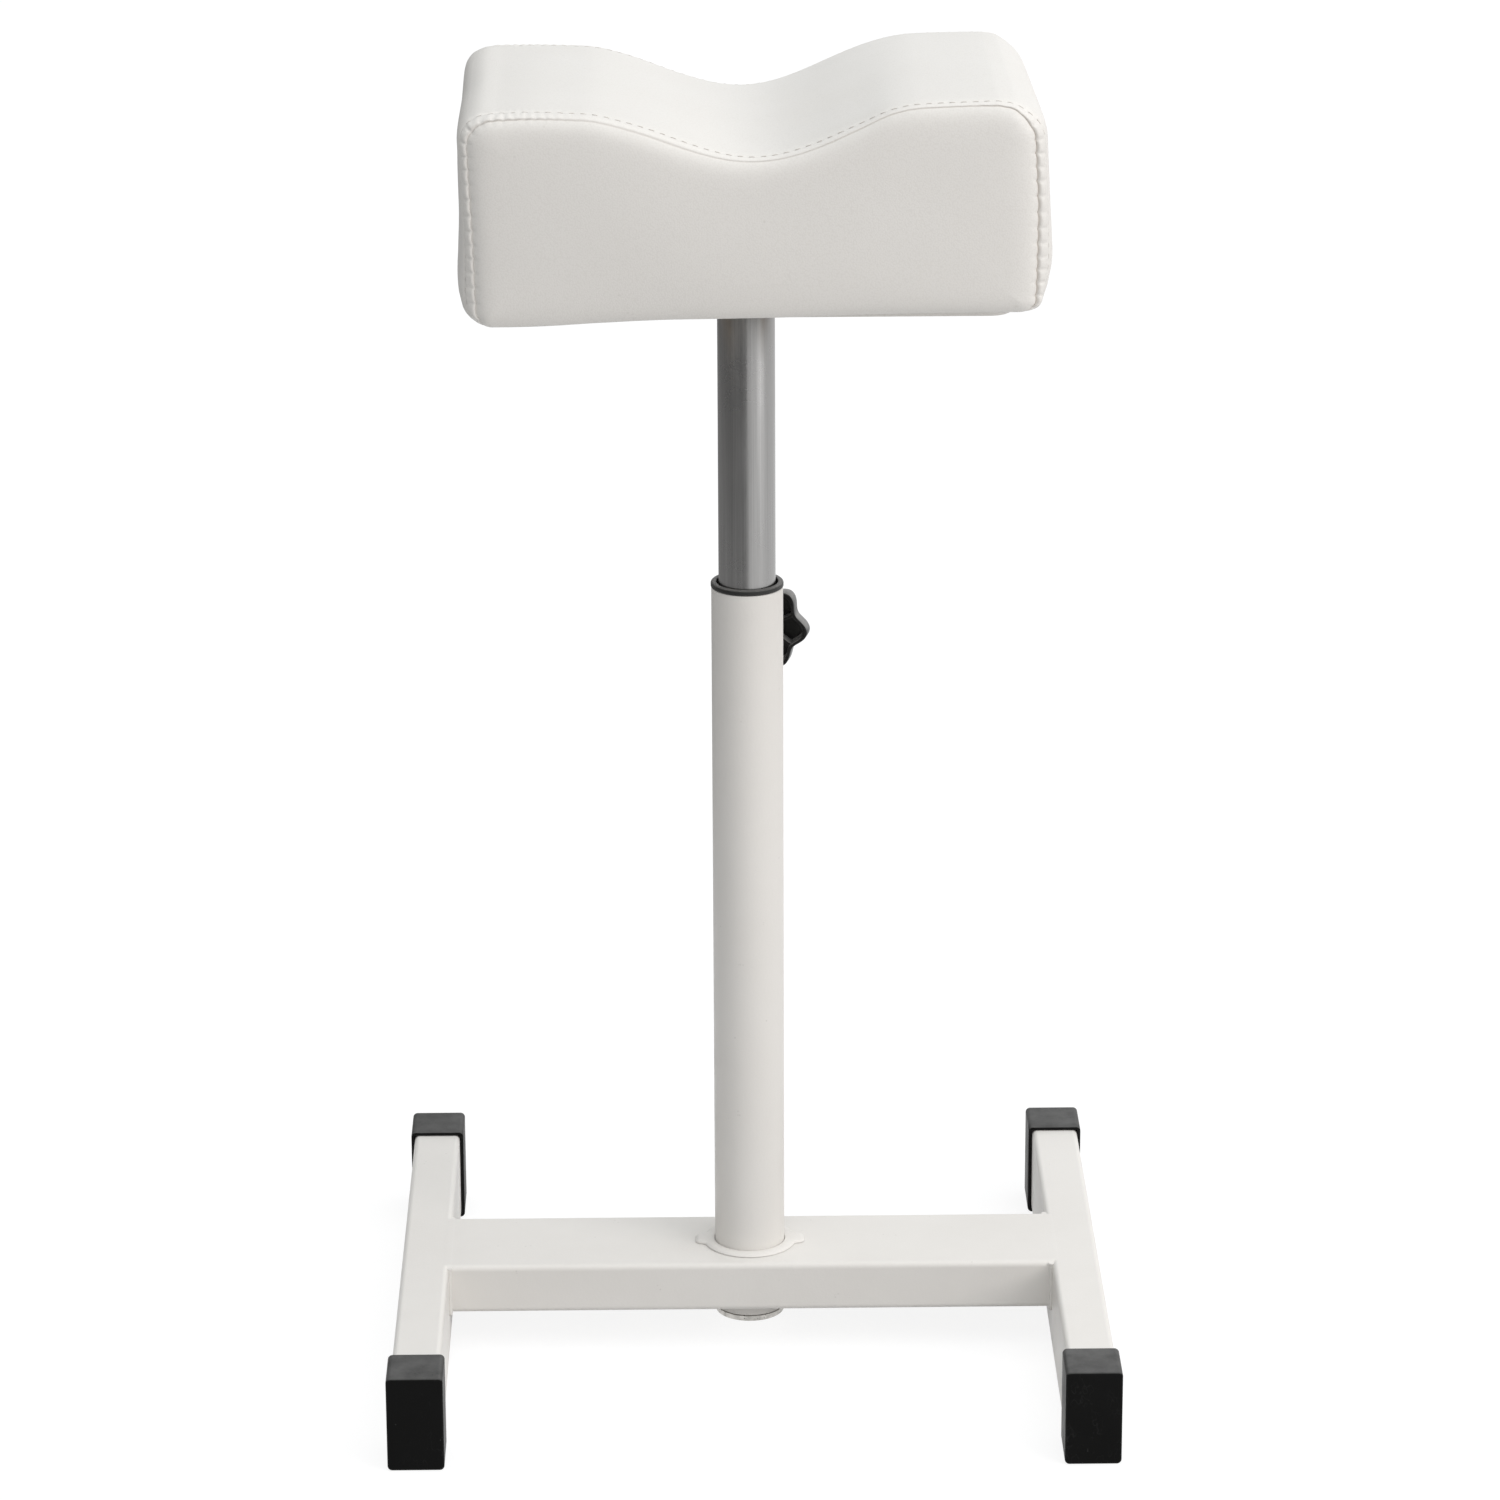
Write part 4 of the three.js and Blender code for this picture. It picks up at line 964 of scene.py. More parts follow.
# %% The bead tree
BEADS, into, end = geometry_tree("weld_bead", [
    ("Step", "Float", 0.0005), ("Ripple", "Float", 0.05), ("Ripple Length", "Float", 0.0022),
    ("Roughness", "Float", 0.0002), ("Seed", "Float", 3.0), ("Material", "Material", None)])
path = place(BEADS, "GeometryNodeMeshToCurve", {"Mesh": into["Geometry"]})
even = place(BEADS, "GeometryNodeResampleCurve", {"Curve": output(path), "Length": into["Step"]},
    mode="LENGTH")
place_on = place(BEADS, "GeometryNodeSplineParameter")
phase = place(BEADS, "ShaderNodeMath", {
    0: output(place_on, "Length"),
    1: output(place(BEADS, "ShaderNodeMath", {0: math.tau, 1: into["Ripple Length"]}, operation="DIVIDE"))},
    operation="MULTIPLY")
wave = place(BEADS, "ShaderNodeMath", {0: output(phase)}, operation="SINE")
swollen = place(BEADS, "ShaderNodeMath", {0: output(wave), 1: into["Ripple"], 2: 1.0},
    operation="MULTIPLY_ADD")
thick = place(BEADS, "GeometryNodeInputNamedAttribute", {"Name": "thick"}, data_type="FLOAT")
radius = place(BEADS, "ShaderNodeMath", {0: output(thick, "Attribute"), 1: output(swollen)},
    operation="MULTIPLY")
ring = place(BEADS, "GeometryNodeCurvePrimitiveCircle", {"Resolution": 12, "Radius": 1.0})
skin = place(BEADS, "GeometryNodeCurveToMesh", {
    "Curve": output(even), "Profile Curve": output(ring), "Scale": output(radius), "Fill Caps": True})
rough = place(BEADS, "ShaderNodeTexNoise", {"Scale": 450.0, "W": into["Seed"]}, noise_dimensions="4D")
centred = place(BEADS, "ShaderNodeVectorMath", {0: output(rough, "Color"), 1: (0.5, 0.5, 0.5)},
    operation="SUBTRACT")
shift = place(BEADS, "ShaderNodeVectorMath", {0: output(centred), "Scale": into["Roughness"]},
    operation="SCALE")
moved = place(BEADS, "GeometryNodeSetPosition", {"Geometry": output(skin), "Offset": output(shift)})
smooth = place(BEADS, "GeometryNodeSetShadeSmooth", {0: output(moved), "Shade Smooth": True})
close_tree(BEADS, output(smooth), into["Material"], end)


def chain(name, points, closed=False, **attributes):
    """A mesh of edges through points in millimetres, with values at its points."""
    mesh = bpy.data.meshes.new(name)
    count = len(points)
    edges = [(i, i + 1) for i in range(count - 1)] + ([(count - 1, 0)] if closed else [])
    mesh.from_pydata([Vector(p) * MM for p in points], edges, [])
    for key, values in attributes.items():
        vector = hasattr(values[0], "__len__")
        layer = mesh.attributes.new(key, "FLOAT_VECTOR" if vector else "FLOAT", "POINT")
        layer.data.foreach_set("vector" if vector else "value", np.array(values, dtype=float).ravel())
    return mesh

# %% Paths of the beads on the base, the boss and the plate
BEAD_THIN, BEAD_END, BEAD_CORNER = 1.15, 1.75, 0.35
JOINT_X, JOINT_Y, JOINT_LOW, JOINT_DROP = 172.6, 35.35, 24.1, 28.3
JOINT_HIGH = JOINT_LOW + JOINT_DROP
beads = []
for name, x in (("weld_bead_left", -JOINT_X), ("weld_bead_right", JOINT_X)):
    walk = [(x, -JOINT_Y, JOINT_HIGH - JOINT_DROP * t) for t in np.linspace(0, 1, 16)]
    walk += [(x, JOINT_Y * (2 * t - 1), JOINT_LOW) for t in np.linspace(0, 1, 30)[1:-1]]
    walk += [(x, JOINT_Y, JOINT_LOW + JOINT_DROP * t) for t in np.linspace(0, 1, 16)]
    radii = [BEAD_THIN + (BEAD_END - BEAD_THIN) * math.exp(-((z - JOINT_HIGH) / 4) ** 2)
             + BEAD_CORNER * math.exp(-((z - JOINT_LOW - 1) / 3) ** 2) for _, _, z in walk]
    beads.append((name, walk, radii, False, "base", WHITE_COAT, "white_coat"))

BOSS_RADIUS, POST_RADIUS = 8.2, 20.0
walk = []
for t in np.linspace(0, math.tau, 65)[:-1]:
    u, v = BOSS_RADIUS * math.cos(t), BOSS_RADIUS * math.sin(t)
    spot = clamp_matrix @ Vector((u * MM, v * MM, math.sqrt(POST_RADIUS ** 2 - u * u) * MM))
    walk.append(tuple(spot / MM))
beads.append(("weld_bead_boss", walk, [1.2] * 64, True, "base", WHITE_COAT, "white_coat"))

TUBE_BEAD_RADIUS, TUBE_BEAD_HEIGHT = 16.3, 620.4
walk = [(TUBE_BEAD_RADIUS * math.cos(t), TUBE_BEAD_RADIUS * math.sin(t), TUBE_BEAD_HEIGHT)
        for t in np.linspace(0, math.tau, 73)[:-1]]
beads.append(("weld_bead_plate", walk, [1.3] * 72, True, "head", BLACK_COAT, "black_coat"))
print("paths:", {name: len(walk) for name, walk, *_ in beads})

# %% The beads
for name, walk, radii, closed, body, material, slot in beads:
    bead = grown(name, chain(name, walk, closed, thick=[r * MM for r in radii]), BEADS,
        {"Seed": float(len(name)), "Material": material})
    soften(bead.data, 60)
    keep(bead, body, slot=slot)
    print(name, len(bead.data.polygons), "faces")

# %% [markdown]
# On top, the joint between the crossbar and each leg is filled and ground flush, so that the
# photograph shows no line there. The leg's edge is rounded, which would leave a groove. A narrow
# strip fills it: nearly flat, a few hundredths of a millimetre proud, and following the crossbar's
# own rounded edges at the front and the rear.

# %% Ground fill on top of the joints
TOP = 53.2
FILL_SECTION = [(171.2, -0.6), (171.4, 0.0), (172.2, 0.03), (174.2, 0.05), (176.2, 0.03), (177.0, 0.0),
                (177.2, -0.6), (174.2, -2.4)]
fill_ends = [34.6, 34.2, 33.6, 33.0, 32.05, 31.0]
fill_places = [-y for y in fill_ends] + list(np.linspace(-28, 28, 15)) + fill_ends[::-1]
for name, side in (("weld_fill_left", -1), ("weld_fill_right", 1)):
    rings = []
    for y in fill_places:
        over = max(0.0, abs(y) - (BAR_HALF[0] - BAR_CORNER))
        z = TOP - BAR_CORNER + math.sqrt(BAR_CORNER ** 2 - over ** 2)
        rings.append([(side * x, float(y), z + h) for x, h in FILL_SECTION])
    keep(solid(name, *loft(rings), WHITE_COAT), "base", slot="white_coat")
print("fill rings:", len(rings))

# %% [markdown]
# ## The cushion
#
# The pad is a foam block cut to a saddle and covered with leatherette: a front panel and a rear
# panel with the saddle's outline, and one long band sewn between them. The stuffing pushes every
# face out between its seams. The outline comes first: a flat bottom, sides that draw in a little
# at the foot, two lobes and a dip. It is cut into four sides at the middle of its corners, because
# a panel is then a grid between four curves.

# %% The saddle outline
PAD_BOTTOM, PAD_TOP = 624.0, 738.0
PAD_HALF, PAD_SEAM = 149.5, 91.0
PAD_DRAW, PAD_DIP, PAD_LOBE = 1.0, 26.0, 90.0
PAD_TOP_CORNER, PAD_BOTTOM_CORNER = 15.0, 9.0
SIDE_CROWN, TOP_CROWN, PANEL_CROWN = 10.0, 4.0, 6.0


def side_at(z):
    """The half width of the pad at a height."""
    return PAD_HALF - PAD_DRAW * (1 - (z - PAD_BOTTOM) / (PAD_TOP - PAD_BOTTOM)) ** 2


def top_at(x):
    """The height of the saddle's top line."""
    return PAD_TOP - PAD_DIP * (1 + math.cos(math.pi * min(abs(x) / PAD_LOBE, 1))) / 2


def arc(centre, radius, start, end, steps=24):
    """Points of an arc between two angles in degrees."""
    return [(centre[0] + radius * math.cos(t), centre[1] + radius * math.sin(t))
            for t in (math.radians(a) for a in np.linspace(start, end, steps))]


def even_points(curve, count, fine, coarse):
    """Cuts a curve into count steps that are short at its ends and longer in the middle."""
    curve = np.array(curve)
    length = np.concatenate([[0], np.cumsum(np.linalg.norm(np.diff(curve, axis=0), axis=1))])
    steps = fine + (coarse - fine) * np.sin(np.pi * (np.arange(count) + 0.5) / count) ** 2
    share = np.concatenate([[0], np.cumsum(steps)]) / steps.sum()
    at = share * length[-1]
    return np.stack([np.interp(at, length, curve[:, 0]), np.interp(at, length, curve[:, 1])], 1), share


# %% The four sides of the outline
low_z, high_z = PAD_BOTTOM + PAD_BOTTOM_CORNER, PAD_TOP - PAD_TOP_CORNER
low_x, high_x = side_at(low_z) - PAD_BOTTOM_CORNER, side_at(high_z) - PAD_TOP_CORNER
RIGHT_SIDE = (arc((low_x, low_z), PAD_BOTTOM_CORNER, -45, 0)
              + [(side_at(z), z) for z in np.linspace(low_z, high_z, 60)[1:-1]]
              + arc((high_x, high_z), PAD_TOP_CORNER, 0, 45))
LEFT_SIDE = [(-x, z) for x, z in RIGHT_SIDE]
TOP_SIDE = (arc((-high_x, high_z), PAD_TOP_CORNER, 135, 90)
            + [(x, top_at(x)) for x in np.linspace(-high_x, high_x, 300)[1:-1]]
            + arc((high_x, high_z), PAD_TOP_CORNER, 90, 45))
BOTTOM_SIDE = (arc((-low_x, low_z), PAD_BOTTOM_CORNER, 225, 270)
               + [(x, PAD_BOTTOM) for x in np.linspace(-low_x, low_x, 60)[1:-1]]
               + arc((low_x, low_z), PAD_BOTTOM_CORNER, 270, 315))
print("outline sides:", len(TOP_SIDE), len(RIGHT_SIDE))

# %% [markdown]
# Now the form as a grid. The band is a grid of outline points and stations from front to rear;
# each panel is a Coons patch, which fills four border curves smoothly. A first crown rises quickly
# beside the seam, as foam does under a tight cover; the rest of the crown will come from the
# simulation. The same class makes the coarse form that is simulated and the fine one that is kept.

# %% Grids of the cushion
BAND_CURVE, PANEL_CURVE = 4.0, 5.0
FIRST_SHARE = 0.8


class Form:
    """Grids of the cushion: outline, its normals, stations, and the two panels."""

    def __init__(self, across_count, up_count, stations, fine=1.0, coarse=1.0):
        self.nu, self.nv = across_count, up_count
        top, self.u = even_points(TOP_SIDE, across_count, fine, coarse)
        bottom, _ = even_points(BOTTOM_SIDE, across_count, fine, coarse)
        right, self.v = even_points(RIGHT_SIDE, up_count, fine, coarse)
        left, _ = even_points(LEFT_SIDE, up_count, fine, coarse)
        self.outline = np.concatenate([bottom[:-1], right[:-1], top[::-1][:-1], left[::-1][:-1]])
        ahead = np.roll(self.outline, -1, 0) - np.roll(self.outline, 1, 0)
        self.normal = np.stack([ahead[:, 1], -ahead[:, 0]], 1)
        self.normal /= np.linalg.norm(ahead, axis=1)[:, None]
        steps = np.linalg.norm(np.roll(self.outline, -1, 0) - self.outline, axis=1)
        self.arc, self.girth = np.concatenate([[0], np.cumsum(steps)[:-1]]), steps.sum()
        self.stations = np.array(stations)
        self.seam = PAD_SEAM - np.abs(self.stations)
        u, v = self.u[:, None, None], self.v[None, :, None]
        self.panel = ((1 - v) * bottom[:, None] + v * top[:, None]
                      + (1 - u) * left[None] + u * right[None]
                      - (1 - u) * (1 - v) * bottom[0] - u * (1 - v) * bottom[-1]
                      - (1 - u) * v * top[0] - u * v * top[-1])
        self.count = len(self.outline)

    def crown(self):
        """How far each outline point may stand out at mid depth: sides most, bottom not at all."""
        nx, nz = self.normal[:, 0], self.normal[:, 1]
        return SIDE_CROWN * nx ** 2 + TOP_CROWN * np.clip(nz, 0, 1) ** 2

    def border(self, i, j):
        """The outline index of a panel's border point, or None inside."""
        if j == 0:
            return i
        if i == self.nu:
            return self.nu + j
        if j == self.nv:
            return 2 * self.nu + self.nv - i
        if i == 0:
            return (2 * self.nu + 2 * self.nv - j) % self.count
        return None

    def nearest(self):
        """For each panel point: its distance from the seam and the nearest outline point."""
        flat = self.panel.reshape(-1, 2)
        start, step = self.outline, np.roll(self.outline, -1, 0) - self.outline
        distance, index = np.empty(len(flat)), np.empty(len(flat), int)
        for k in range(0, len(flat), 1500):
            away = flat[k:k + 1500, None] - start[None]
            t = np.clip((away * step).sum(2) / (step ** 2).sum(1), 0, 1)
            gap = np.linalg.norm(away - t[..., None] * step, axis=2)
            index[k:k + 1500] = gap.argmin(1)
            distance[k:k + 1500] = gap.min(1)
        return distance.reshape(self.nu + 1, self.nv + 1), index.reshape(self.nu + 1, self.nv + 1)


def rise(distance, curve):
    """The share of a crown reached at a distance from the seam, before the simulation."""
    return 1 - np.exp(-distance / curve)

# %% One skin from the grids
def assemble(form, band, panels, skip=lambda i, j: False):
    """Points and faces from a band grid (outline, station, n) and two panel grids."""
    stations = len(form.stations)
    points = list(band.reshape(form.count * stations, -1))
    faces = []
    for i in range(form.count):
        for j in range(stations - 1):
            if not skip(i, j):
                here, ahead = i * stations + j, (i + 1) % form.count * stations + j
                faces.append((here, here + 1, ahead + 1, ahead))
    for panel, station, flip in ((panels[0], 0, False), (panels[1], stations - 1, True)):
        index = {}
        for i in range(form.nu + 1):
            for j in range(form.nv + 1):
                edge = form.border(i, j)
                if edge is None:
                    index[i, j] = len(points)
                    points.append(panel[i, j])
                else:
                    index[i, j] = edge * stations + station
        for i in range(form.nu):
            for j in range(form.nv):
                face = (index[i, j], index[i + 1, j], index[i + 1, j + 1], index[i, j + 1])
                faces.append(face[::-1] if flip else face)
    return points, faces

# %% [markdown]
# ### Blowing up the cover
#
# Blender's Cloth with a little pressure gives the swell of a stuffed cover: it bulges most far
# from the seams and hardly in the corners. The seams and the underside are pinned. The simulation
# runs on a coarse grid; what is kept is only how far each point moved outwards. A good cover lies
# without folds, so both halves are averaged and calmed, then scaled to the measured crown and
# spread over the fine grid. Along the top they are calmed over a longer way, because firm foam
# carries the cover from lobe to lobe.

# %% The simulation
SIM_ACROSS, SIM_UP = 60, 24
SIM_STATIONS = np.linspace(-PAD_SEAM, PAD_SEAM, 37)
SIM_PRESSURE, SIM_STIFFNESS, SIM_FRAMES = 4.0, 60.0, 20
FACING_DOWN = -0.7


def pushed_out(form, out, depth, *more):
    """The band grid: each outline point moved out along its normal, at its depth from front to rear."""
    return np.stack([form.outline[:, None, 0] + form.normal[:, None, 0] * out, depth,
                     form.outline[:, None, 1] + form.normal[:, None, 1] * out, *more], 2)


def swell():
    """Runs the cloth: outward moves of the band grid and of the two panels, in millimetres."""
    form = Form(SIM_ACROSS, SIM_UP, SIM_STATIONS)
    out = form.crown()[:, None] * FIRST_SHARE * rise(form.seam, BAND_CURVE)[None]
    band = pushed_out(form, out, np.broadcast_to(form.stations, out.shape))
    away, _ = form.nearest()
    depth = PAD_SEAM + PANEL_CROWN * FIRST_SHARE * rise(away, PANEL_CURVE)
    panels = [np.stack([form.panel[..., 0], s * depth, form.panel[..., 1]], 2) for s in (-1, 1)]
    points, faces = assemble(form, band, panels)
    mesh = bpy.data.meshes.new("cover_trial")
    mesh.from_pydata([Vector(p) * MM for p in points], [], faces)
    trial = new_object("cover_trial", mesh)
    stations = len(SIM_STATIONS)
    held = trial.vertex_groups.new(name="held")
    pinned = [i * stations + j for i in range(form.count) for j in range(stations)
              if j in (0, stations - 1) or form.normal[i, 1] < FACING_DOWN]
    held.add(pinned, 1.0, "REPLACE")
    cloth = trial.modifiers.new("cloth", "CLOTH")
    settings = cloth.settings
    settings.quality = 6
    settings.vertex_group_mass = "held"
    settings.use_pressure = True
    settings.uniform_pressure_force = SIM_PRESSURE
    settings.tension_stiffness = settings.compression_stiffness = SIM_STIFFNESS
    settings.shear_stiffness = SIM_STIFFNESS
    settings.effector_weights.gravity = 0
    cloth.point_cache.frame_start, cloth.point_cache.frame_end = 1, SIM_FRAMES
    before = np.array([v.co for v in mesh.vertices])
    for f in range(1, SIM_FRAMES + 1):
        scene.frame_set(f)
    graph = bpy.context.evaluated_depsgraph_get()
    after = np.array([v.co for v in trial.evaluated_get(graph).data.vertices])
    bpy.data.objects.remove(trial)
    bpy.data.meshes.remove(mesh)
    scene.frame_set(1)
    moved = (after - before) / MM
    grid = moved[:form.count * stations].reshape(form.count, stations, 3)
    band_out = grid[..., 0] * form.normal[:, None, 0] + grid[..., 2] * form.normal[:, None, 1]
    inner = (SIM_ACROSS - 1) * (SIM_UP - 1)
    panel_out = []
    for k, sign in ((0, -1), (1, 1)):
        block = np.zeros((SIM_ACROSS + 1, SIM_UP + 1))
        part = moved[form.count * stations + k * inner:form.count * stations + (k + 1) * inner, 1] * sign
        block[1:-1, 1:-1] = part.reshape(SIM_ACROSS - 1, SIM_UP - 1)
        panel_out.append(block)
    return form, band_out, panel_out


# %% Running it
trial, band_out, panel_out = swell()
side_spot = SIM_ACROSS + SIM_UP // 2, len(SIM_STATIONS) // 2
panel_spot = SIM_ACROSS // 4, SIM_UP // 2
print("cloth moved, mm: side", round(float(band_out[side_spot]), 2), "panel",
      round(float(panel_out[0][panel_spot]), 2))

# %% Calming the swell and scaling it to the measured crowns
CALM_PASSES, TOP_PASSES = 4, 45
FLAT_REACH, FACING_UP = 133, 0.7


def averaged(moves):
    """Averages each move with its neighbours along the outline."""
    return (np.roll(moves, 1, 0) + np.roll(moves, -1, 0)) / 4 + moves / 2


def calmed(moves, closed):
    """Averages each move with its neighbours a few times; the seams stay where they are."""
    for _ in range(CALM_PASSES):
        around = averaged(moves)
        if not closed:
            around[[0, -1]] = moves[[0, -1]]
        moves = around.copy()
        moves[:, 1:-1] = (around[:, :-2] + around[:, 2:]) / 4 + around[:, 1:-1] / 2
    return moves


mirror = (SIM_ACROSS - np.arange(trial.count)) % trial.count
band_even = (band_out + band_out[mirror] + band_out[:, ::-1] + band_out[mirror][:, ::-1]) / 4
band_even = calmed(band_even, True)
panel_even = calmed(sum(p + p[::-1] for p in panel_out) / 4, False)
on_top = ((np.abs(trial.outline[:, 0]) < FLAT_REACH) & (trial.normal[:, 1] > FACING_UP))[:, None]
for _ in range(TOP_PASSES):
    band_even = np.where(on_top, averaged(band_even), band_even)
band_fit = band_even * (1 - FIRST_SHARE) * SIDE_CROWN / band_even[side_spot]
panel_fit = panel_even * (1 - FIRST_SHARE) * PANEL_CROWN / panel_even[panel_spot]
print("largest swell on the coarse grid:", round(float(band_fit.max()), 2), "mm")

# %% From the coarse grid to the fine one
def spread(coarse, fine):
    """A matrix that carries values from coarse places to fine ones with smooth cubic pieces."""
    count = len(coarse)
    matrix = np.zeros((len(fine), count))
    for row, at in enumerate(fine):
        k = int(np.clip(np.searchsorted(coarse, at, side="right") - 1, 0, count - 2))
        t = (at - coarse[k]) / (coarse[k + 1] - coarse[k])
        weights = ((-t + 2 * t * t - t ** 3) / 2, (2 - 5 * t * t + 3 * t ** 3) / 2,
                   (t + 4 * t * t - 3 * t ** 3) / 2, (t ** 3 - t * t) / 2)
        for offset, weight in zip((-1, 0, 1, 2), weights):
            matrix[row, min(max(k + offset, 0), count - 1)] += weight
    return matrix

# %% [markdown]
# ### The fine form, its seams and its creases
#
# The seam lies in a narrow groove. Behind it the seam allowance is folded under the band and held
# down by a line of topstitching, so a soft roll runs between the two. The roll is wider on the left
# lobe than in the dip and on the right. Along the sides every stitch pulls it in and leaves a
# scallop; at the upper left corner it puckers, because the band has to turn there. All of this
# depends on two numbers, the distance from the seam and the way along it, so it is written as
# formulas on the grid.

# %% The fine grid
FINE_ACROSS, FINE_UP = 204, 146
SEAM_STEPS = [0, 0.4, 0.9, 1.5, 2.2, 3.0, 3.8, 4.4, 5.0, 5.6, 6.3, 7.2, 8.5, 10.5, 13.5, 17.5,
              23, 30, 38, 47, 57, 68, 79.5]
STITCH_LINE = 5.0
stations = [-PAD_SEAM + q for q in SEAM_STEPS] + [0.0] + [PAD_SEAM - q for q in SEAM_STEPS[::-1]]
fine = Form(FINE_ACROSS, FINE_UP, stations, 0.75, 1.5)

trial_arc = np.append(trial.arc, trial.girth)
fine_arc = fine.arc / fine.girth * trial.girth
closed_band = np.concatenate([band_fit, band_fit[:1]])
band_swell = spread(trial_arc, fine_arc) @ closed_band @ spread(SIM_STATIONS, fine.stations).T
panel_swell = spread(trial.u, fine.u) @ panel_fit @ spread(trial.v, fine.v).T
print("fine band:", band_swell.shape, "largest swell:", round(float(band_swell.max()), 2), "mm")

# %% How the seam changes along its way
SEAM_GROOVE, ROLL_LIP = 0.34, 2.0
top_start, top_end = fine.arc[FINE_ACROSS + FINE_UP], fine.arc[2 * FINE_ACROSS + FINE_UP]
SEAM_PLACES = [top_start - 12, top_start + 3, top_start + 30, (top_start + top_end) / 2, top_end - 65,
               top_end - 12, top_end + 12]


def along_seam(*values):
    """Values on the right side, right corner, right lobe, dip, left lobe, left corner, left side."""
    return np.interp(fine.arc, SEAM_PLACES, values)


roll_scale = along_seam(0.95, 0.85, 0.6, 0.7, 1.3, 1.4, 0.75)
stitch_pitch = along_seam(8.2, 7, 8, 8, 6.5, 5.0, 8.2) * (1 + 0.1 * np.sin(fine.arc / 9))
stitch_turns = np.cumsum(np.diff(fine.arc, prepend=0) / stitch_pitch)
# The bottom edge has no topstitching, so each of these fades out towards it
upper = np.clip((fine.normal[:, 1] + 0.9) / 0.4, 0, 1)
pulled = upper * along_seam(1, 0.5, 0.12, 0.05, 0.15, 0.85, 1)
puckered = upper * along_seam(0.08, 0.12, 0.08, 0.03, 0.14, 0.36, 0.12)
grooved = upper * SEAM_GROOVE * along_seam(1, 0.8, 0.4, 0.4, 0.4, 0.5, 0.4)
lipped = upper * ROLL_LIP * along_seam(0.9, 0.7, 0.35, 0.3, 0.4, 0.8, 1)
raised = upper * along_seam(1, 0.7, 0.45, 0.45, 0.6, 0.9, 1)
shaded = upper * along_seam(1, 0.8, 0.45, 0.4, 0.5, 0.5, 0.1)
print("stitches that pull the sides in:", int(stitch_turns[-1]))

# %% Groove, roll, scallops and puckers on the band
GROOVE_WIDTH = 0.42
ROLL_HEIGHT, STITCH_DENT, STITCH_WIDTH = 0.5, 0.7, 0.8
SCALLOP_DEPTH, PINCH_DEPTH, PINCH_WIDTH, PUCKER_LENGTH = 0.75, 0.3, 0.13, 4.6
WAVE_DEPTH = 0.2


def bell(value, centre, width):
    """A smooth bump from 0 to 1."""
    return np.exp(-((value - centre) / width) ** 2)


scallop = pulled * (1 - np.abs(np.sin(np.pi * stitch_turns)) ** 0.6)
pinch = pulled * bell(stitch_turns - np.round(stitch_turns), 0, PINCH_WIDTH)
wandering = fine.arc + 1.1 * np.sin(fine.arc / 8.3)
ripple = puckered * np.sin(math.tau * wandering / PUCKER_LENGTH) * (0.65 + 0.35 * np.sin(fine.arc / 3.7))
near = fine.seam
roll = np.clip(1 - np.abs(near / (STITCH_LINE / 2) - 1) ** 3, 0, 1)
shape = ROLL_HEIGHT * roll - STITCH_DENT * bell(near, STITCH_LINE, STITCH_WIDTH)
band_detail = raised[:, None] * shape[None] - grooved[:, None] * bell(near, 0, GROOVE_WIDTH)[None]
band_detail -= (SCALLOP_DEPTH * scallop)[:, None] * bell(near, 0.6, 1.5)[None]
band_detail -= (PINCH_DEPTH * pinch)[:, None] * bell(near, 1.5, 2.2)[None]
band_detail += ripple[:, None] * (bell(near, 2.5, 1.9) + 0.4 * bell(near, 7.0, 2.5))[None]
waves = np.sin(fine.arc / 31)[:, None] * np.sin(fine.stations / 27 + 1)[None]
band_detail += WAVE_DEPTH * waves * rise(near, 20)[None] * upper[:, None]
lip = lipped[:, None] * (rise(near, 0.35) * np.exp(-near / 2.0))[None] * (1 - 0.45 * pinch[:, None])
print("deepest dent:", round(float(-band_detail.min()), 2), "mm")

# %% The same seam on the panels
away, near_index = fine.nearest()
inwards = -(0.5 * grooved)[near_index] * bell(away, 0, GROOVE_WIDTH)
inwards -= (SCALLOP_DEPTH * scallop)[near_index] * bell(away, 0, 2.4) * bell(0.6, 0, 1.5)
panel_dent = -grooved[near_index] * bell(away, 0, GROOVE_WIDTH)
panel_dent += (0.3 * ripple - 0.2 * pinch)[near_index] * bell(away, 1.2, 1.4)
print("panel middle:", round(float(away.max()), 1), "mm from the seam")

# %% Grids of the fine cushion
# Away from the seams the foam keeps the upper corners squarer than the crowns alone leave them.
# The last number of each point says how close it lies to the seam, which sets the groove's darker tint of
# dust and painted shade in the finish
CORNER_FILL, CORNER_START, CORNER_RUN = 2.2, 122, 10
SHADE_WIDTH = 0.4
ROLL_END, ROLL_FADE = 20, 11.5
fade = np.clip((ROLL_END - near) / ROLL_FADE, 0, 1)
reach = near[None] * (1 + (roll_scale[:, None] - 1) * fade[None])
across, upwards = np.abs(fine.normal[:, 0]), np.clip(fine.normal[:, 1], 0, 1)
in_corner = np.clip((np.abs(fine.outline[:, 0]) - CORNER_START) / CORNER_RUN, 0, 1)
corner = CORNER_FILL * (2 * across * upwards) ** 2 * in_corner
out = fine.crown()[:, None] * FIRST_SHARE * rise(reach, BAND_CURVE) + band_swell + band_detail
out += corner[:, None] * rise(near, 10.0)[None]
depth = np.where(fine.stations < 0, -1, 1)[None] * (
    PAD_SEAM - reach + lip - grooved[:, None] * bell(near, 0, GROOVE_WIDTH)[None])
band = pushed_out(fine, out, depth, shaded[:, None] * bell(near, 0, SHADE_WIDTH)[None])
panels = []
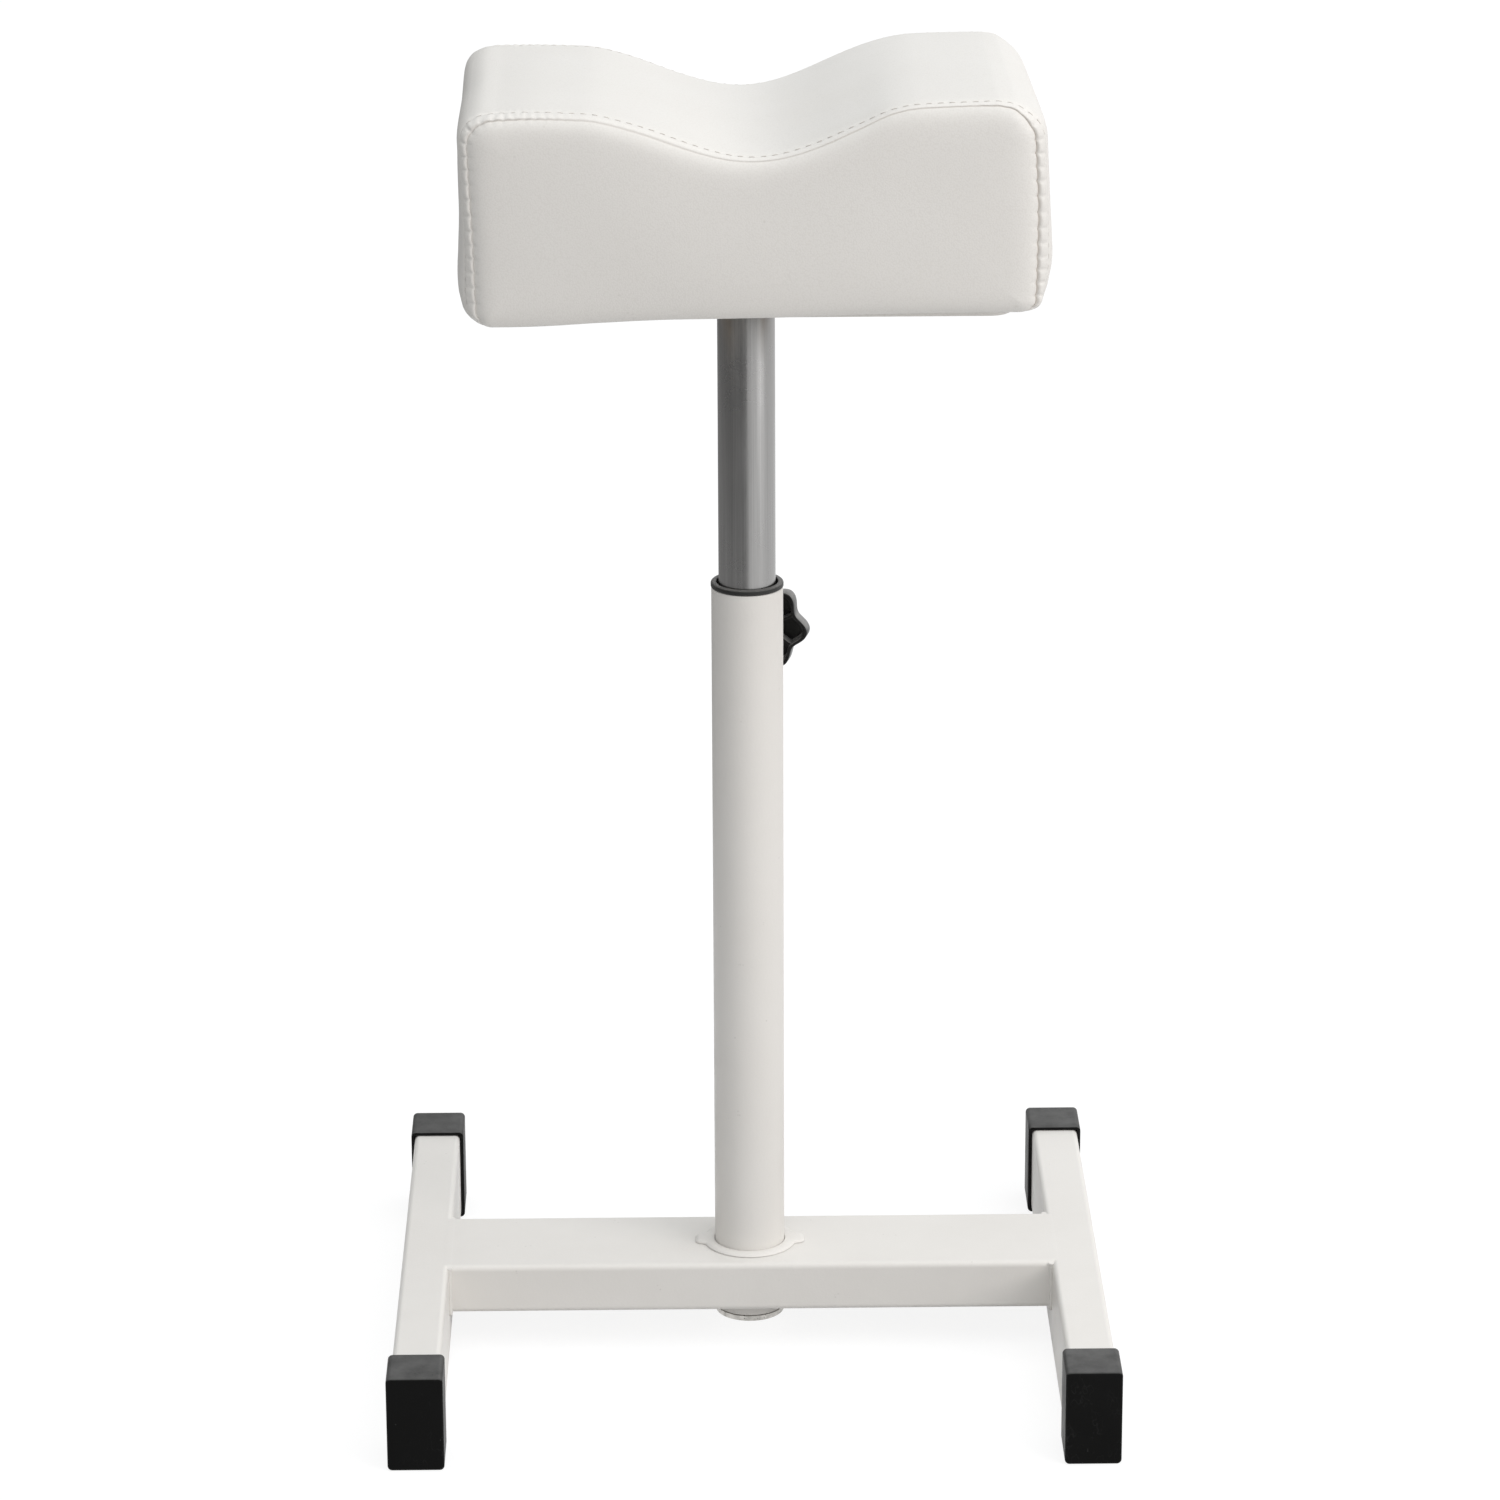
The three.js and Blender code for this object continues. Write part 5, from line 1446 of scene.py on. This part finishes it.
for k, sign in ((0, -1), (1, 1)):
    x, z = fine.panel[..., 0], fine.panel[..., 1]
    soft = 0.3 * np.sin(x / 38 + k) * np.sin(z / 23) + 0.15 * np.sin(x / 17 + z / 29 + 2 * k)
    depth = PAD_SEAM + PANEL_CROWN * FIRST_SHARE * rise(away, PANEL_CURVE) + panel_swell + panel_dent
    depth += soft * rise(away, 15)
    panels.append(np.stack([x + fine.normal[near_index, 0] * inwards, sign * depth,
                            z + fine.normal[near_index, 1] * inwards,
                            shaded[near_index] * bell(away, 0, SHADE_WIDTH)], 2))
print("fine band:", band.shape, "panels:", panels[0].shape)

# %% [markdown]
# ### The underside
#
# Below, the cover is folded over the edge of the board and stapled there, and the board shows in
# the middle. So the underside has an opening: the sheet runs in to the hem, turns up round its
# edge, and goes back over the board. A hole is left in the band's grid and nested rings fill it,
# each a rounded rectangle whose points come from the hole's border.

# %% Hem and pocket for the board
HOLE_HALF = (136.5, 77.0)
HEM_HALF, HEM_CORNER = (118.5, 60.0), 9.0
POCKET_HALF, POCKET_CORNER, POCKET_ROOF = (140.9, 82.4), 12.0, 639.4
bottom_run = [i for i in range(FINE_ACROSS + 1) if abs(fine.outline[i, 0]) <= HOLE_HALF[0]]
station_run = [j for j, y in enumerate(fine.stations) if abs(y) <= HOLE_HALF[1]]
i_low, i_high, j_low, j_high = bottom_run[0], bottom_run[-1], station_run[0], station_run[-1]


def in_hole(i, j):
    """Whether a cell of the band lies in the opening of the underside."""
    return i_low <= i < i_high and j_low <= j < j_high


points, faces = assemble(fine, band, panels, in_hole)
rows = len(fine.stations)
loop = ([i * rows + j_low for i in range(i_low, i_high)]
        + [i_high * rows + j for j in range(j_low, j_high)]
        + [i * rows + j_high for i in range(i_high, i_low, -1)]
        + [i_low * rows + j for j in range(j_high, j_low, -1)])
rim = np.array([points[i][:2] for i in loop])


def squared(half, corner):
    """The border of the hole carried onto a smaller rounded rectangle."""
    spots = rim / np.abs(rim).max(0) * half
    centre = np.array(half) - corner
    over = np.abs(spots) - centre
    inside = (over > 0).all(1)
    reach = np.linalg.norm(np.where(inside[:, None], over, 1), axis=1)
    curved = np.sign(spots) * (centre + over / reach[:, None] * corner)
    return np.where(inside[:, None], curved, spots), inside


print("border of the opening:", len(loop), "points")

# %% Rings of the hem and the pocket
# Each ring: half sizes, corner, height, and how deep the gathered folds at its corners are
FOLDS_PER_RADIAN = 34
previous = loop
for half, corner, height, fold in (
        ((132, 73), 5, 624.0, 0.3), ((127.5, 68.5), 6.5, 624.0, 0.7), ((123, 64), 8, 624.05, 0.8),
        ((119.6, 61), 9, 624.15, 0.5), (HEM_HALF, HEM_CORNER, 624.35, 0.2),
        ((118.2, 59.7), HEM_CORNER, 624.7, 0), (HEM_HALF, HEM_CORNER, 625.05, 0),
        ((120.5, 62), HEM_CORNER, 625.15, 0), (POCKET_HALF, POCKET_CORNER, 625.2, 0),
        (POCKET_HALF, POCKET_CORNER, POCKET_ROOF, 0), ((120, 62), 10, POCKET_ROOF, 0)):
    spots, turned_corner = squared(half, corner)
    angle = np.arctan2(spots[:, 1], spots[:, 0])
    folds = -fold * turned_corner * np.abs(np.sin(FOLDS_PER_RADIAN * angle))
    ring = list(range(len(points), len(points) + len(loop)))
    points += [np.array([x, y, height + f, 0]) for (x, y), f in zip(spots, folds)]
    faces += [(previous[k - 1], previous[k], ring[k], ring[k - 1]) for k in range(len(loop))]
    previous = ring
faces.append(tuple(previous))
print("cushion:", len(points), "points,", len(faces), "faces; opening", HEM_HALF)

# %% [markdown]
# ### Soft unevenness
#
# The real pad isn't symmetric: one lobe is stuffed higher, the dip drifts to the left towards the
# rear, the front edge of the underside is drawn up, the sides lean, and the whole cushion sits a
# little to the right. These moves were measured along the seams and the outline in the photograph.
# They are added to all points after everything else, and fade out towards the board, which stays
# where it is.

# %% Measured moves
PAD_SHIFT = 2.5
# Upward moves of the top at the front and rear seams: place, front, rear
LIFT_AT, LIFT_FRONT, LIFT_REAR = np.array([
    (-160, -3.0, -2.8), (-144, -3.0, -3.2), (-138, -2.9, -3.3), (-115, -2.3, -3.2), (-91, -3.2, -3.9),
    (-68, -4.4, -5.4), (-44, -3.1, -5.6), (-21, -0.9, -3.0), (0, 0.1, -0.2), (17, -0.5, 0.9),
    (38, -1.6, 0.9), (57, -1.1, 0.8), (73, 1.1, 1.1), (97, 2.6, 2.4), (129, 3.4, 2.8), (139, 1.6, 1.9),
    (146, -1.2, -0.1), (160, -2.2, -1.7)]).T
# Upward moves of the front edge of the underside: place, move
FOOT_AT, FOOT_LIFT = np.array([
    (-160, -0.6), (-136, -0.9), (-112, -0.5), (-85, 1.0), (-50, 2.5), (-20, 2.9), (25, 3.6), (60, 4.8),
    (105, 5.4), (160, 5.4)]).T
# Outward moves of the sides: share of the height, left and right at the front seam, and at mid depth
SHARE_AT, LEFT_SEAM, RIGHT_SEAM, LEFT_MIDDLE, RIGHT_MIDDLE = np.array([
    (0, -1.6, 2.4, -2.5, -4.5), (0.07, -1.5, 2.4, -0.6, -3.8), (0.15, -1.3, 2.5, 1.0, -1.2),
    (0.27, -1.1, 2.5, -0.3, 1.0), (0.41, -0.8, 2.5, -1.6, 0.2), (0.55, -0.3, 2.4, -2.2, -0.8),
    (0.69, 0.4, 1.6, -2.6, -0.9), (0.83, 0.9, 0.6, -2.8, -0.9), (1.0, 1.4, 0, -2.6, -1.0)]).T
REAR_DRAW, REAR_SPREAD = 4.9, 2.8
FREE_START, FREE_RUN, FOOT_HEIGHT = 0.86, 0.09, 40


def eased(at, places, values):
    """A smooth curve through a few measured values."""
    return spread(places, np.clip(at, places[0], places[-1])) @ values

# %% Unevenness
def side_move(share, front, middle, at_seam, at_middle):
    """How far a side stands out, from its seam at the front to its middle."""
    return eased(share, SHARE_AT, at_seam) * front ** 3 + eased(share, SHARE_AT, at_middle) * middle


def uneven(spots):
    """The small irregular moves of the real pad, on points in millimetres."""
    x, y, z = np.array(spots, dtype=float)[:, :3].T
    share = np.clip((z - PAD_BOTTOM) / (PAD_TOP - PAD_BOTTOM), 0, 1)
    front = np.clip((1 - y / PAD_SEAM) / 2, 0, 1)
    rear = 1 - front
    middle = rise(np.clip(PAD_SEAM - np.abs(y), 0, None), 5)
    # Nothing moves on the board: not the sheet under its middle, and not the pocket round it
    inner = np.maximum(np.abs(x) / POCKET_HALF[0], np.abs(y) / POCKET_HALF[1])
    free = np.clip((inner - FREE_START) / FREE_RUN, 0, 1) ** 2
    free = np.where(z > POCKET_ROOF + 0.5, 1.0, free)
    free = np.where((z < POCKET_ROOF + 0.1) & (inner < 1.002) & (z > PAD_BOTTOM + 0.8), 0.0, free)
    lift = (front * eased(x, LIFT_AT, LIFT_FRONT) + rear * eased(x, LIFT_AT, LIFT_REAR)) * share ** 2
    foot = eased(x, FOOT_AT, FOOT_LIFT) * front ** 6
    foot *= np.clip(1 - (z - PAD_BOTTOM) / FOOT_HEIGHT, 0, 1) ** 2
    left, right = np.clip(-x / PAD_HALF, 0, 1) ** 8, np.clip(x / PAD_HALF, 0, 1) ** 8
    lean = (right * side_move(share, front, middle, RIGHT_SEAM, RIGHT_MIDDLE)
            - left * side_move(share, front, middle, LEFT_SEAM, LEFT_MIDDLE))
    drawn_in = right * REAR_DRAW * rear ** 1.3 + left * REAR_SPREAD * rear ** 0.7
    lean -= drawn_in * np.clip(2 * share - 1, 0, 1)
    return np.stack([x + (lean + PAD_SHIFT) * free, y, z + lift + foot * free], 1)

# %% The cushion as an object
cushion = solid("saddle_cushion", uneven(points), faces, LEATHERETTE, 80.0)
seam_mark = cushion.data.attributes.new("seam", "FLOAT", "POINT")
seam_mark.data.foreach_set("value", np.array([p[3] for p in points], dtype=np.float32))
keep(cushion, "head", ("cushion_cover", "cushion_foam"))
print("cushion triangles:", sum(len(p.vertices) - 2 for p in cushion.data.polygons))

# %% [markdown]
# ## Stitches and staples
#
# A stitch is a short, slightly flattened strand whose ends dive into the cover. Many of them follow
# each seam, so Geometry Nodes set one low-count strand on every point of an evenly cut path. The
# path carries two directions at its points, the way the strand lies and the way the surface faces.
# The same tree sets the staples of the hem, which are only longer and made of steel.

# %% The strand tree
STRANDS, into, end = geometry_tree("strands", [
    ("Pitch", "Float", 0.0045), ("Size", "Vector", (0.0016, 0.0003, 0.0003)), ("Lift", "Float", 0.0001),
    ("Unevenness", "Float", 0.1), ("Seed", "Int", 1), ("Material", "Material", None)])
path = place(STRANDS, "GeometryNodeMeshToCurve", {"Mesh": into["Geometry"]})
even = place(STRANDS, "GeometryNodeResampleCurve",
    {"Curve": output(path), "Length": into["Pitch"]}, mode="LENGTH")
ball = place(STRANDS, "GeometryNodeMeshUVSphere", {"Segments": 8, "Rings": 6, "Radius": 1.0})
strand = place(STRANDS, "GeometryNodeTransform", {"Geometry": output(ball), "Scale": into["Size"]})

# %% Where each strand sits and how it turns
def point_vector(name):
    """A direction stored on the points of the path."""
    node = place(STRANDS, "GeometryNodeInputNamedAttribute", {"Name": name}, data_type="FLOAT_VECTOR")
    return output(node, "Attribute")


def scaled(vector, factor):
    """A vector times a number."""
    return output(place(STRANDS, "ShaderNodeVectorMath", {0: vector, "Scale": factor}, operation="SCALE"))


lies, looks_out = point_vector("direction"), point_vector("normal")
jitter = place(STRANDS, "FunctionNodeRandomValue", {
    "Min": (-1.0, -1.0, -1.0), "Max": (1.0, 1.0, 1.0), "Seed": into["Seed"]}, data_type="FLOAT_VECTOR")
swayed = place(STRANDS, "ShaderNodeVectorMath",
    {0: lies, 1: scaled(output(jitter), into["Unevenness"])}, operation="ADD")
turned_to = place(STRANDS, "FunctionNodeAxesToRotation", {0: output(swayed), 1: looks_out},
    primary_axis="X", secondary_axis="Z")
seated = place(STRANDS, "GeometryNodeSetPosition",
    {"Geometry": output(even), "Offset": scaled(looks_out, into["Lift"])})
many = place(STRANDS, "GeometryNodeInstanceOnPoints", {
    "Points": output(seated), "Instance": output(strand), "Rotation": output(turned_to)})
smooth = place(STRANDS, "GeometryNodeSetShadeSmooth", {0: output(many), "Shade Smooth": True})
close_tree(STRANDS, output(smooth), into["Material"], end)
print("strand tree:", len(STRANDS.nodes), "nodes")

# %% Topstitching on the cushion
STITCH_PITCH, STITCH_LIFT, STITCH_SWAY = 6.1, 0.2, 0.07
THREAD_SIZE = (1.65, 0.40, 0.32)
surface = band[..., :3]
# The stitches run up one side, over the top, and down the other side
around = list(range(FINE_ACROSS + 3, fine.count - 2))
facing = np.stack([fine.normal[around, 0], np.zeros(len(around)), fine.normal[around, 1]], 1)
front_row = SEAM_STEPS.index(STITCH_LINE)
stitched = {"topstitch_front": front_row, "topstitch_rear": rows - 1 - front_row}
for number, (name, row) in enumerate(stitched.items()):
    spots = uneven(surface[around, row])
    tangent = np.gradient(spots, axis=0)
    tangent /= np.linalg.norm(tangent, axis=1)[:, None]
    strands = grown(name, chain(name, spots, direction=tangent, normal=facing), STRANDS, {
        "Pitch": STITCH_PITCH * MM, "Size": tuple(s * MM for s in THREAD_SIZE), "Lift": STITCH_LIFT * MM,
        "Seed": number, "Unevenness": STITCH_SWAY, "Material": THREAD})
    keep(strands, "head", slot="leatherette")
    print(name, len(strands.data.polygons), "faces")

# %% Staples of the hem
STAPLE_PITCH, STAPLE_SIZE, STAPLE_SWAY = 23.0, (5.0, 0.65, 0.4), 0.12
STAPLE_TRACK, STAPLE_OUT = (128.5, 70.0, 8.0), 0.1
track = np.array(rounded(*STAPLE_TRACK))
spots = np.stack([track[:, 0], track[:, 1], np.full(len(track), PAD_BOTTOM - STAPLE_OUT)], 1)
tangent = np.roll(track, -1, 0) - np.roll(track, 1, 0)
tangent = np.concatenate([tangent / np.linalg.norm(tangent, axis=1)[:, None], np.zeros((len(track), 1))], 1)
down = np.tile((0.0, 0.0, -1.0), (len(track), 1))
staples = grown("hem_staples", chain("hem_staples", spots, True, direction=tangent, normal=down), STRANDS, {
    "Pitch": STAPLE_PITCH * MM, "Size": tuple(s * MM for s in STAPLE_SIZE), "Lift": 0.0, "Seed": 9,
    "Unevenness": STAPLE_SWAY, "Material": ZINC})
keep(staples, "head", slot="zinc_steel")
print("staple faces:", len(staples.data.polygons))

# %% [markdown]
# ## Floor, background and light
#
# The picture was taken in a light tent: white all round, and a large soft source above, slightly
# cooler than the two warm ones in front. A softbox stands at the front right and a weak fill at the
# front. The floor and the world are plain white where the camera or a reflection sees them, and only
# moderately bright as light, so the background stays white without washing out the object. The floor
# still takes a little of the object's shadow.

# %% World
world = bpy.data.worlds.new("light_tent")
scene.world = world
world.use_nodes = True
tree = world.node_tree
tree.nodes.clear()
SKY_LIGHT = 0.27
path = place(tree, "ShaderNodeLightPath")
lit = place(tree, "ShaderNodeBackground", {"Color": (1, 1, 1, 1), "Strength": SKY_LIGHT})
seen = place(tree, "ShaderNodeBackground", {"Color": (1, 1, 1, 1), "Strength": 1.0})


def looked_at(tree, path):
    """1 where the camera, a reflection or a view through glass meets the surface, otherwise 0."""
    direct = calc(tree, "MAXIMUM", output(path, "Is Camera Ray"), output(path, "Is Glossy Ray"))
    return calc(tree, "MAXIMUM", direct, output(path, "Is Transmission Ray"))


both = place(tree, "ShaderNodeMixShader", {0: looked_at(tree, path), 1: output(lit), 2: output(seen)})
world.cycles.sampling_method = "NONE"
place(tree, "ShaderNodeOutputWorld", {"Surface": output(both)})
print("world nodes:", len(tree.nodes))

# %% Floor
FLOOR_HALF, FLOOR_LOW = 30.0, -0.0002
FLOOR_GLOW, FLOOR_WHITE = 0.86, 0.20
floor_mesh = bpy.data.meshes.new("floor")
floor_mesh.from_pydata([(x * FLOOR_HALF, y * FLOOR_HALF, FLOOR_LOW)
                        for x, y in ((-1, -1), (1, -1), (1, 1), (-1, 1))], [], [(0, 1, 2, 3)])
floor_material = bpy.data.materials.new("floor_white")
floor_material.use_nodes = True
tree = floor_material.node_tree
paint = tree.nodes["Principled BSDF"]
paint.inputs["Base Color"].default_value = (0.55, 0.55, 0.55, 1)
paint.inputs["Roughness"].default_value = 0.9
paint.inputs["Specular IOR Level"].default_value = 0.1
path = place(tree, "ShaderNodeLightPath")
bright = place(tree, "ShaderNodeBsdfDiffuse", {"Color": (FLOOR_WHITE, FLOOR_WHITE, FLOOR_WHITE, 1)})
glow = place(tree, "ShaderNodeEmission", {"Color": (1, 1, 1, 1), "Strength": FLOOR_GLOW})
shadowed = place(tree, "ShaderNodeAddShader", {0: output(glow), 1: output(bright)})
seen = place(tree, "ShaderNodeMixShader", {0: looked_at(tree, path), 1: output(paint), 2: output(shadowed)})
tree.links.new(output(seen), tree.nodes["Material Output"].inputs["Surface"])
floor_material.cycles.emission_sampling = "NONE"
floor = new_object("floor", floor_mesh, floor_material)
print("floor:", 2 * FLOOR_HALF, "m wide")

# %% Lamps
COOL, WARM = (0.957, 0.982, 1.0), (1.0, 0.950, 0.925)


def softbox(name, spot, target, size, power):
    """A rectangular area lamp that looks at a target."""
    lamp = bpy.data.lights.new(name, "AREA")
    lamp.shape = "RECTANGLE"
    lamp.size, lamp.size_y = size
    lamp.energy = power
    lamp.color = WARM
    thing = bpy.data.objects.new(name, lamp)
    spot = Vector(spot)
    thing.location = spot
    thing.rotation_euler = (Vector(target) - spot).to_track_quat("-Z", "Y").to_euler()
    thing.visible_glossy = False
    scene.collection.objects.link(thing)


sun = bpy.data.lights.new("overhead", "SUN")
sun.energy = 1.95
sun.color = COOL
sun.angle = math.radians(75)
overhead = bpy.data.objects.new("overhead", sun)
overhead.rotation_euler = (math.radians(8), math.radians(9), 0)
overhead.visible_glossy = False
scene.collection.objects.link(overhead)
softbox("front_right", (2.35, -1.65, 1.55), (0.0, 0.0, 0.35), (1.7, 1.5), 32)
softbox("front_fill", (-0.3, -3.3, 1.9), (0.0, 0.0, 0.4), (1.0, 1.0), 5.6)

# %% [markdown]
# The steel tube and the glossy coat mirror the tent itself, and two glowing cards paint what they mirror. On
# the left a dim sheet, bent round the object, paints the shade that the left half of the tube shows; its glow
# is painted stronger near the floor. On the right a brighter wedge paints the reflection of the lamp side as
# a lighter streak in the tube's upper part. Only reflections see the two cards: they glow by themselves,
# light nothing directly, and throw no shadow.

# %% Cards that only reflections see
def card(name, points, faces, levels):
    """A glowing sheet in the reflections. Levels: two heights and the strength at each."""
    mesh = bpy.data.meshes.new(name)
    mesh.from_pydata(points, [], faces)
    material = bpy.data.materials.new(name)
    material.use_nodes = True
    material.cycles.emission_sampling = "NONE"
    tree = material.node_tree
    tree.nodes.clear()
    spot = place(tree, "ShaderNodeNewGeometry")
    height = output(place(tree, "ShaderNodeSeparateXYZ", {0: output(spot, "Position")}), "Z")
    (low, at_low), (high, at_high) = levels
    strength = span(tree, height, low, high, at_low, at_high)
    glow = place(tree, "ShaderNodeEmission", {"Color": (1, 1, 1, 1), "Strength": strength})
    place(tree, "ShaderNodeOutputMaterial", {"Surface": output(glow)})
    sheet = new_object(name, mesh, material)
    sheet.visible_camera = sheet.visible_diffuse = False
    sheet.visible_shadow = sheet.visible_transmission = False
    return sheet


def card_point(radius, degrees, height):
    """A point round the object: the angle runs from the front, and to the right when positive."""
    turn = math.radians(degrees)
    return radius * math.sin(turn), -radius * math.cos(turn), height

# %% The two cards
CARD_RADIUS, CARD_HEIGHT, CARD_START, CARD_END = 0.95, 1.3, -3, 168
CARD_STEPS, CARD_LEVELS = 35, ((0.46, 0.335), (0.62, 0.208))
edges = [[card_point(CARD_RADIUS, -a, z) for a in np.linspace(CARD_START, CARD_END, CARD_STEPS + 1)]
         for z in (0.0, CARD_HEIGHT)]
strips = [(i, i + 1, i + CARD_STEPS + 2, i + CARD_STEPS + 1) for i in range(CARD_STEPS)]
# The dim sheet paints shade into the reflections on the left; its glow is painted stronger near the floor
dark = card("painted_shade_card", edges[0] + edges[1], strips, CARD_LEVELS)
# The glowing wedge paints the reflection of the lamp side in the tube's upper part
GLEAM_RADIUS, GLEAM_LOW, GLEAM_HIGH, GLEAM_LIGHT = 1.0, 0.60, 0.95, 1.6
wedge = ((54, GLEAM_LOW), (62, GLEAM_LOW), (86, GLEAM_HIGH), (38, GLEAM_HIGH))
gleam = card("painted_highlight_card", [card_point(GLEAM_RADIUS, a, z) for a, z in wedge], [(0, 1, 2, 3)],
             ((GLEAM_LOW, GLEAM_LIGHT), (GLEAM_HIGH, GLEAM_LIGHT)))
